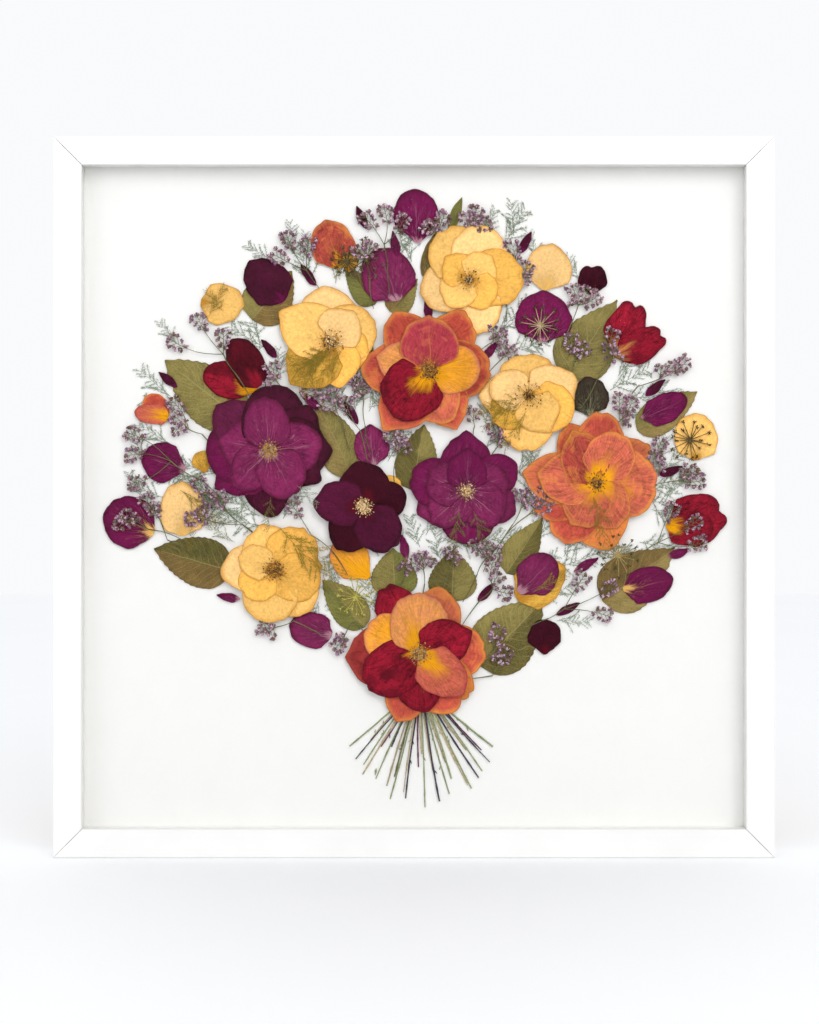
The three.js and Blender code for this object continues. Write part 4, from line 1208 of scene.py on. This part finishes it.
def boss_copies(style, at, level, draw):
    """Copies for a flower's centre: a button of grains, and stamens lying around it."""
    shapes = patterns()
    colours, radius, grains, stamens, reach = BOSSES[style]
    copies = []
    for _ in range(grains):
        away = radius * math.sqrt(draw.random())
        spot = polar(at, draw.uniform(0, math.tau), away)
        size = draw.uniform(0.9, 1.7)
        height = level + 0.9 * (1 - (away / radius) ** 2) + draw.uniform(0, 0.3)
        turn = draw.uniform(0, 360)
        matrix = lay(spot, turn, size * draw.uniform(1, 1.5), size, height, thickness=size * 0.6)
        copies.append((shapes["grain"], matrix, plain_paint(draw.choice(colours), draw, 0.3)))
    for number in range(stamens):
        turn = 360 * number / stamens + draw.uniform(-8, 8)
        length = reach * draw.uniform(0.75, 1.15)
        matrix = lay(at, turn, length, 0.35, level + 0.35, droop=0.2, thickness=0.35)
        copies.append((shapes["needle"], matrix, plain_paint(colours[0], draw, 0.25)))
        matrix = lay(polar(at, math.radians(turn), length), turn, 1.5, 0.9, level + 0.25, thickness=0.6)
        copies.append((shapes["grain"], matrix, plain_paint(draw.choice(colours), draw, 0.35)))
    return copies


WIDTH_GAIN = 1.14  # of a flower's petals over the widths in its table, so that they overlap
LOOSE_CURL = 0.3
LOOSE_DROOP = 0.2
LEAF_RUMPLE = 0.0014


def make_flower(spec):
    draw = random.Random(spec["name"])
    shapes = patterns()
    sizes = bpy.context.scene.specimen_sizes
    level = FLOWER_LEVEL + spec["tier"] * FLOWER_TIER
    copies = []
    top = 0
    for turn, length, width, layer, look in spec["petals"]:
        shape = shapes[draw.choice(ROUND_PATTERNS)]
        height = level + PETAL_LIFT + layer * LAYER_STEP
        top = max(top, height)
        curl = sizes.curl if layer == 0 else sizes.curl * 0.5
        matrix = lay(spec["at"], turn, length, width * WIDTH_GAIN, height, curl, sizes.droop)
        copies.append((shape, matrix, petal_paint(look, draw)))
    petals = piece_of(f"pressed_{spec['name']}", copies, spec["slot"])
    rumple(petals)
    copies = boss_copies(spec["boss"], spec["at"], top + CENTRE_LIFT, draw)
    boss = piece_of(f"{spec['name']}_centre", copies, "stamens")
    only(petals)
    boss.select_set(True)
    bpy.ops.object.join()
    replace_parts(petals, spec["name"])


def make_petal(name, at, turn, length, width, look, slot, level=PETAL_LEVEL):
    draw = random.Random(name)
    shape = patterns()["ragged_petal" if look in CRUMPLED_LOOKS else draw.choice(LOOSE_PATTERNS)]
    matrix = lay(at, turn, length, width, level, LOOSE_CURL, LOOSE_DROOP)
    piece = piece_of(f"pressed_{name}", [(shape, matrix, petal_paint(look, draw))], slot)
    rumple(piece)
    return piece


def make_leaf(name, at, turn, length, width, left, right, slot):
    draw = random.Random(name)
    shape = patterns()["narrow_leaf" if width < NARROW_LEAF else draw.choice(("broad_leaf", "oval_leaf"))]
    matrix = lay(at, turn, length, width, LEAF_LEVEL)
    piece = piece_of(f"pressed_{name}", [(shape, matrix, leaf_paint(left, right, draw))], slot)
    rumple(piece, LEAF_RUMPLE)
    return piece


def bowed(start, end, bow, steps=6):
    """Points of a gently bowed line between two points."""
    start, end = Vector(start), Vector(end)
    across = Vector((start.y - end.y, end.x - start.x))
    shares = [step / steps for step in range(steps + 1)]
    return [start.lerp(end, share) + across * bow * math.sin(math.pi * share) for share in shares]


def stem_tubes(name, paths):
    """One mesh of thin round stems along paths on the sheet: each is points, thickness and height."""
    curve = bpy.data.curves.new(name, "CURVE")
    curve.dimensions = "3D"
    curve.bevel_depth = 0.5 * MM
    curve.bevel_resolution = 1
    curve.use_fill_caps = True
    for points, thick, level in paths:
        spline = curve.splines.new("POLY")
        spline.points.add(len(points) - 1)
        for number, point in enumerate(points):
            place = SHEET @ Vector((point.x, point.y, level))
            spline.points[number].co = (*place, 1)
            spline.points[number].radius = thick * (1 - 0.45 * number / (len(points) - 1))
    carrier = bpy.data.objects.new(name, curve)
    bpy.context.scene.collection.objects.link(carrier)
    only(carrier)
    bpy.ops.object.convert(target="MESH")
    return keep_pattern(bpy.context.object)


HEAD_LENGTH = 15.0  # the most of a stem that carries florets
CLUSTER_SPACING = 1.9
FLORET_COLOURS = ("lilac", "lilac", "pink_lilac", "pink_lilac", "floret_brown")
CALYX_COLOURS = ("floret_dark", "floret_brown", "stem_olive")
SPRAY_SMOOTH = 35  # degrees between faces that shade smoothly


def head_copies(path, level, draw):
    """Florets in tight clusters on short branchlets along the last part of a stem."""
    shapes = patterns()
    size = bpy.context.scene.specimen_sizes.floret
    copies = []
    end = path[-1]
    along = (end - path[-2]).normalized()
    across = Vector((-along.y, along.x))
    turn = math.degrees(math.atan2(along.y, along.x))
    length = min(HEAD_LENGTH, (end - path[0]).length * 0.85)
    clusters = max(4, round(length / CLUSTER_SPACING))
    for number in range(clusters + 1):
        share = number / clusters
        side = (-1, 1)[number % 2] if number else 0
        spread = side * draw.uniform(0.8, 1.2) * (0.6 + 3.4 * math.sin(math.pi * min(1, 0.2 + share * 0.75)))
        root = end - along * length * share
        spot = root + across * spread + along * abs(spread) * 0.8
        aim = math.degrees(math.atan2(*(spot - root).yx)) if side else turn
        matrix = lay(root, aim, (spot - root).length + 0.5, 0.5, level, thickness=0.5)
        copies.append((shapes["ray"], matrix, plain_paint("stem_olive", draw)))
        for _ in range(draw.choice((6, 7, 8))):
            lean = aim + draw.uniform(-58, 58)
            foot = spot + Vector((draw.uniform(-0.7, 0.7), draw.uniform(-0.7, 0.7)))
            tall = size * draw.uniform(0.7, 1.1)
            height = level + draw.uniform(0, 0.9)
            droop = draw.uniform(-0.5, 0.3)
            matrix = lay(foot, lean, tall, tall * 0.78, height, droop=droop, thickness=tall * 0.55)
            colour = draw.choice(FLORET_COLOURS)
            floret = shapes[f"floret_{draw.randrange(FLORET_PATTERNS)}"]
            copies.append((floret, matrix, plain_paint(colour, draw, 0.3)))
            for _ in range(2):
                lean += draw.uniform(-40, 40)
                reach = tall * draw.uniform(0.8, 1.25)
                matrix = lay(foot, lean, reach, tall * 0.34, height + 0.2, thickness=tall * 0.3)
                copies.append((shapes["needle"], matrix, plain_paint(draw.choice(CALYX_COLOURS), draw, 0.25)))
    return copies


def spray_copies(foot, fork, tips, level, draw, name):
    """Copies for a sprig: its forked stem, a tail towards the tie of the bouquet, and its heads."""
    thick = bpy.context.scene.specimen_sizes.sprig_stem
    tie = Vector(STEM_TIE)
    tail = Vector(foot).lerp(tie, SPRIG_TAIL / (Vector(foot) - tie).length)
    paths = [(bowed(fork, foot, draw.uniform(-0.06, 0.06)), thick * 1.15, level),
             (bowed(foot, tail, draw.uniform(-0.05, 0.05)), thick * 1.2, TAIL_LEVEL)]
    heads = []
    for tip in tips:
        path = bowed(fork, tip, draw.uniform(-0.1, 0.1))
        paths.append((path, thick * 0.85, level + 0.15))
        heads += head_copies(path, level + 0.3, draw)
    return [(stem_tubes(name, paths), Matrix.Identity(4), plain_paint("stem_olive", draw))] + heads


def make_spray(name, foot, fork, tips):
    draw = random.Random(name)
    copies = spray_copies(foot, fork, tips, SPRAY_LEVEL, draw, name)
    piece = piece_of(f"pressed_{name}", copies, "sea_lavender", SPRAY_SMOOTH)
    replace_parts(piece, name)


def make_sprigs():
    """The small sprigs, joined into one piece for each half of the bouquet."""
    draw = random.Random("sprigs")
    halves = {"left": [], "right": []}
    for number, (foot, fork, tips) in enumerate(SPRIGS):
        half = halves["left" if foot[0] < 0 else "right"]
        half += spray_copies(foot, fork, tips, SPRAY_LEVEL + SPRIG_LIFT, draw, f"sprig_{number}")
    for side, copies in halves.items():
        piece = piece_of(f"sea_lavender_sprigs_{side}", copies, "sea_lavender", SPRAY_SMOOTH)


def make_cut_stems():
    draw = random.Random("cut stems")
    shapes = patterns()
    thick = bpy.context.scene.specimen_sizes.cut_stem
    copies = []
    last = len(STEM_LENGTHS) - 1
    for number, (length, colour) in enumerate(zip(STEM_LENGTHS, STEM_COLOURS)):
        turn = -90 - STEM_SPREAD / 2 + STEM_SPREAD * number / last
        aim = math.radians(turn)
        width = thick * draw.uniform(0.65, 1.15)
        level = STEM_LEVEL + STEM_STEP * (number % 3)
        root = polar(STEM_TIE, aim, STEM_HIDDEN)
        matrix = lay(root, turn, length - STEM_HIDDEN, width, level, thickness=width * 0.8)
        paint = plain_paint(f"stem_{colour}", draw, 0.15)
        copies.append((shapes[f"stem_{number % STEM_PATTERNS}"], matrix, paint))
        for _ in range(draw.choice((0, 0, 1, 2))):
            bud = polar(STEM_TIE, aim, draw.uniform(STEM_HIDDEN + 12, length - 4))
            lean = turn + draw.choice((-28, 28))
            matrix = lay(bud, lean, draw.uniform(3, 6), 1.0, level + 0.1, thickness=0.8)
            copies.append((shapes["grain"], matrix, paint))
    piece = piece_of("cut_stems", copies, "dry_stem")
    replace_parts(piece, "stems")


SLENDER_WIDTH = 7.5
SLENDER_RUMPLE = 0.0025
SLENDER_LOOKS = ("plum", "dusky_plum", "dark_plum")


def make_slender_petals():
    draw = random.Random("slender petals")
    shape = patterns()["strap_petal"]
    copies = []
    for at, turn, length in SLENDER_PETALS:
        foot = polar(at, math.radians(turn), -length / 2)
        matrix = lay(foot, turn, length, SLENDER_WIDTH, SLENDER_LEVEL, thickness=length)
        copies.append((shape, matrix, petal_paint(draw.choice(SLENDER_LOOKS), draw)))
    piece = piece_of("slender_plum_petals", copies, "plum_petal")
    rumple(piece, SLENDER_RUMPLE)


def make_fern(name, wisps, breadth):
    draw = random.Random(name)
    shapes = patterns()
    copies = []
    for at, turn, length, level, colour in wisps:
        shape = shapes[f"frond_{draw.randrange(FROND_PATTERNS)}"]
        matrix = lay(at, turn, length, length * breadth, level, thickness=length)
        copies.append((shape, matrix, plain_paint(colour, draw, 0.15)))
    piece = piece_of(name, copies, "fern")


def make_umbels():
    draw = random.Random("umbels")
    shapes = patterns()
    copies = []
    for at, radius, level, colour, tip_colour in UMBELS:
        matrix = lay((at[0], at[1] - 1.5), 90, 3, 3, level, thickness=1.4)
        copies.append((shapes["grain"], matrix, plain_paint(colour, draw)))
        for number in range(UMBEL_RAYS):
            turn = 360 * number / UMBEL_RAYS + draw.uniform(-7, 7)
            length = radius * (draw.uniform(0.8, 1.0) if number % 3 else draw.uniform(0.45, 0.65))
            matrix = lay(at, turn, length, RAY_WIDTH, level, thickness=0.7)
            copies.append((shapes["ray"], matrix, plain_paint(colour, draw)))
            end = polar(at, math.radians(turn), length)
            for _ in range(4):
                lean = turn + draw.uniform(-60, 60)
                height = level + draw.uniform(-0.2, 0.4)
                matrix = lay(end, lean, draw.uniform(1.6, 2.8), RAY_WIDTH, height, thickness=0.6)
                copies.append((shapes["ray"], matrix, plain_paint(tip_colour, draw, 0.3)))
            for _ in range(3):
                spot = (end[0] + draw.uniform(-1.3, 1.3), end[1] + draw.uniform(-1.3, 1.3))
                size = draw.uniform(1.3, 2.0)
                matrix = lay(spot, turn, size, 1.2, level + draw.uniform(0, 0.5), thickness=0.9)
                copies.append((shapes["grain"], matrix, plain_paint(tip_colour, draw, 0.35)))
    piece = piece_of("umbel_heads", copies, "sea_lavender")


def softened_copy(node, name, radius, segments=3):
    """A copy of a solid with its edges rounded over, which stands for it."""
    piece = bpy.data.objects.new(name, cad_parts[node].data.copy())
    bpy.context.scene.collection.objects.link(piece)
    piece.data.materials.clear()
    with editing(piece):
        bpy.ops.mesh.select_all(action="SELECT")
        bpy.ops.mesh.remove_doubles(threshold=SAME_PLACE)
        bpy.ops.mesh.dissolve_limited(angle_limit=math.radians(1))
    apply_modifier(piece, "BEVEL", width=radius, segments=segments, limit_method="ANGLE",
                   angle_limit=math.radians(30))
    only(piece)
    bpy.ops.object.shade_smooth_by_angle(angle=math.radians(40))
    apply_modifier(piece, "WEIGHTED_NORMAL", keep_sharp=True)
    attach(piece, "root")
    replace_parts(piece, node)
    return piece


def give_finish(node, material):
    """Puts a finish on a solid that stays as it is."""
    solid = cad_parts[node]
    if not solid.material_slots:
        solid.data.materials.append(material)
    for slot in solid.material_slots:
        slot.material = material


# ---- Operators -----------------------------------------------------------------------------------

SIDES = ("top", "right", "bottom", "left")
FERN_BREADTH = 0.95  # of a wisp over its length
FERN_ON_PETALS_BREADTH = 0.62


class FinishRails(bpy.types.Operator):
    """Round the edges of the four rails and lacquer them white"""
    bl_idname = "flower_frame.rails"
    bl_label = "Rails"

    def execute(self, context):
        settings = context.scene.frame_finish
        for side in SIDES:
            along = "X" if side in ("top", "bottom") else "Z"
            rail = softened_copy(f"rail_{side}", f"{side}_rail", settings.arris)
            rail.data.materials.append(lacquer_finish(f"lacquer_{side}", settings.lacquer, along))
        return {"FINISHED"}


class FinishGlazing(bpy.types.Operator):
    """Glaze the frame with clear glass over white card strips and a white board"""
    bl_idname = "flower_frame.glazing"
    bl_label = "Glass, strips and board"

    def execute(self, context):
        settings = context.scene.frame_finish
        give_finish("glass", glass_finish("picture_glass"))
        card = paper_finish("white_card", settings.card)
        for side in SIDES:
            give_finish(f"spacer_{side}", card)
        give_finish("mount_board", paper_finish("white_board", settings.board, 0.01))
        return {"FINISHED"}


class FinishBack(bpy.types.Operator):
    """Finish the backing board, the paper dust cover, the hanger and the bumpers"""
    bl_idname = "flower_frame.back"
    bl_label = "Back and fittings"

    def execute(self, context):
        settings = context.scene.frame_finish
        give_finish("backing_board", paper_finish("fibreboard", settings.fibreboard, 0.12))
        give_finish("dust_cover", paper_finish("kraft_paper", settings.kraft, 0.07, 0.8, 0.0002))
        steel = steel_finish("zinc_steel", settings.steel)
        plate = softened_copy("hanger_plate", "toothed_hanger", radius=0.00025, segments=2)
        plate.data.materials.append(steel)
        rubber = rubber_finish("black_rubber", settings.rubber)
        for side in ("left", "right"):
            nail = softened_copy(f"hanger_nail_{side}", f"nail_{side}", radius=0.0004)
            nail.data.materials.append(steel)
            bumper = softened_copy(f"bumper_{side}", f"foot_{side}", radius=0.0008, segments=4)
            bumper.data.materials.append(rubber)
        return {"FINISHED"}


class LayLeaves(bpy.types.Operator):
    """Lay the pressed leaves on the board"""
    bl_idname = "flower_frame.leaves"
    bl_label = "Leaves"

    def execute(self, context):
        for spec in LEAVES:
            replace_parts(make_leaf(*spec), spec[0])
        for spec in SMALL_LEAVES:
            make_leaf(*spec)
        return {"FINISHED"}


class LayLoosePetals(bpy.types.Operator):
    """Lay the broad loose petals between the flowers"""
    bl_idname = "flower_frame.loose_petals"
    bl_label = "Loose petals"

    def execute(self, context):
        for spec in LOOSE_PETALS:
            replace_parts(make_petal(*spec), spec[0])
        for spec in SMALL_PETALS:
            make_petal(*spec)
        return {"FINISHED"}


class LaySlenderPetals(bpy.types.Operator):
    """Lay the slender plum petals"""
    bl_idname = "flower_frame.slender_petals"
    bl_label = "Slender petals"

    def execute(self, context):
        make_slender_petals()
        return {"FINISHED"}


class LayFern(bpy.types.Operator):
    """Lay wisps of fern in the gaps and over some petals"""
    bl_idname = "flower_frame.fern"
    bl_label = "Fern"

    def execute(self, context):
        for side, left in (("left", True), ("right", False)):
            wisps = [(*wisp, FERN_LEVEL, "fern") for wisp in FERN if (wisp[0][0] < 0) == left]
            make_fern(f"fern_wisps_{side}", wisps, FERN_BREADTH)
        make_fern("fern_on_petals", FERN_ON_PETALS, FERN_ON_PETALS_BREADTH)
        return {"FINISHED"}


class LaySeaLavender(bpy.types.Operator):
    """Lay the sprays and small sprigs of sea lavender"""
    bl_idname = "flower_frame.sea_lavender"
    bl_label = "Sea lavender"

    def execute(self, context):
        for spec in SPRAYS:
            make_spray(*spec)
        make_sprigs()
        return {"FINISHED"}


class LayUmbels(bpy.types.Operator):
    """Lay the ribbed umbel heads"""
    bl_idname = "flower_frame.umbels"
    bl_label = "Umbel heads"

    def execute(self, context):
        make_umbels()
        return {"FINISHED"}


class LayFlowers(bpy.types.Operator):
    """Build each pressed flower from its petals and its centre"""
    bl_idname = "flower_frame.flowers"
    bl_label = "Flowers"

    def execute(self, context):
        for spec in FLOWERS:
            make_flower(spec)
        return {"FINISHED"}


class LayCutStems(bpy.types.Operator):
    """Fan out the cut stems below the bouquet"""
    bl_idname = "flower_frame.cut_stems"
    bl_label = "Cut stems"

    def execute(self, context):
        make_cut_stems()
        return {"FINISHED"}


LIGHT_TARGET = (0, 0, 0.3)
KEY_LIGHT = {"place": (0.8, -2.6, 1.45), "size": 1.9, "colour": (1.0, 0.985, 0.96)}
FILL_LIGHT = {"place": (-1.7, -2.0, 0.9), "size": 1.6, "colour": (0.95, 0.97, 1.0)}
SKY_COLOUR = (0.97, 0.98, 1.0, 1.0)
CAMERA_ACROSS = -0.0037
CAMERA_HEIGHT = 0.2875
FLOOR_SIZE = 9


def area_light(name, power, place, size, colour):
    light = bpy.data.lights.new(name, "AREA")
    light.shape = "RECTANGLE"
    light.size = light.size_y = size
    light.energy = power
    light.color = colour
    lamp = bpy.data.objects.new(name, light)
    lamp.location = place
    lamp.rotation_euler = (Vector(LIGHT_TARGET) - Vector(place)).to_track_quat("-Z", "Y").to_euler()
    bpy.context.scene.collection.objects.link(lamp)


class SetStage(bpy.types.Operator):
    """Set up the pale floor, the studio light and the camera"""
    bl_idname = "flower_frame.stage"
    bl_label = "Stage"

    def execute(self, context):
        scene = context.scene
        settings = scene.stage_settings
        self.make_floor(settings)
        world = bpy.data.worlds.new("studio")
        world.use_nodes = True
        sky = world.node_tree.nodes["Background"]
        sky.inputs["Color"].default_value = SKY_COLOUR
        sky.inputs["Strength"].default_value = settings.sky
        scene.world = world
        area_light("key", settings.key, **KEY_LIGHT)
        area_light("fill", settings.fill, **FILL_LIGHT)
        camera = bpy.data.cameras.new("camera")
        camera.lens = settings.lens
        camera.sensor_width = 36
        holder = bpy.data.objects.new("camera", camera)
        holder.location = (CAMERA_ACROSS, FRAME_FRONT - settings.distance, CAMERA_HEIGHT)
        holder.rotation_euler = (math.pi / 2, 0, 0)
        scene.collection.objects.link(holder)
        scene.camera = holder
        scene.view_settings.view_transform = "Standard"
        return {"FINISHED"}

    def make_floor(self, settings):
        floor = add_primitive("plane", "floor", size=FLOOR_SIZE)
        f = Finish("pale_floor")
        dapple = f.noise(f.place(), 3, 3)
        colour = f.shaded(rgba(settings.floor), f.band(dapple, 0.3, 0.7, 0.99, 1.0))
        floor.data.materials.append(f.finish(colour, 0.7))


STEPS = (FinishRails, FinishGlazing, FinishBack, LayLeaves, LayLoosePetals, LaySlenderPetals, LayFern,
         LaySeaLavender, LayUmbels, LayFlowers, LayCutStems, SetStage)
SETTINGS = {"petal_colours": PetalColours, "plant_colours": PlantColours, "frame_finish": FrameFinish,
            "specimen_sizes": SpecimenSizes, "stage_settings": StageSettings}


class FlowerFramePanel(bpy.types.Panel):
    """The steps that build the frame, and their settings"""
    bl_idname = "VIEW3D_PT_flower_frame"
    bl_label = "Pressed flower frame"
    bl_space_type = "VIEW_3D"
    bl_region_type = "UI"
    bl_category = "Flower Frame"

    def draw(self, context):
        for step in STEPS:
            self.layout.operator(step.bl_idname)
        for name, group in SETTINGS.items():
            box = self.layout.box()
            box.label(text=name.replace("_", " ").capitalize())
            for prop in group.__annotations__:
                box.prop(getattr(context.scene, name), prop)


def register():
    for group in SETTINGS.values():
        bpy.utils.register_class(group)
    for name, group in SETTINGS.items():
        setattr(bpy.types.Scene, name, PointerProperty(type=group))
    for cls in (*STEPS, FlowerFramePanel):
        bpy.utils.register_class(cls)


def unregister():
    for cls in reversed((*STEPS, FlowerFramePanel)):
        bpy.utils.unregister_class(cls)
    for name, group in SETTINGS.items():
        delattr(bpy.types.Scene, name)
        bpy.utils.unregister_class(group)


def main():
    register()
    for step in STEPS:
        group, action = step.bl_idname.split(".")
        getattr(getattr(bpy.ops, group), action)()


if __name__ == "__main__":
    main()
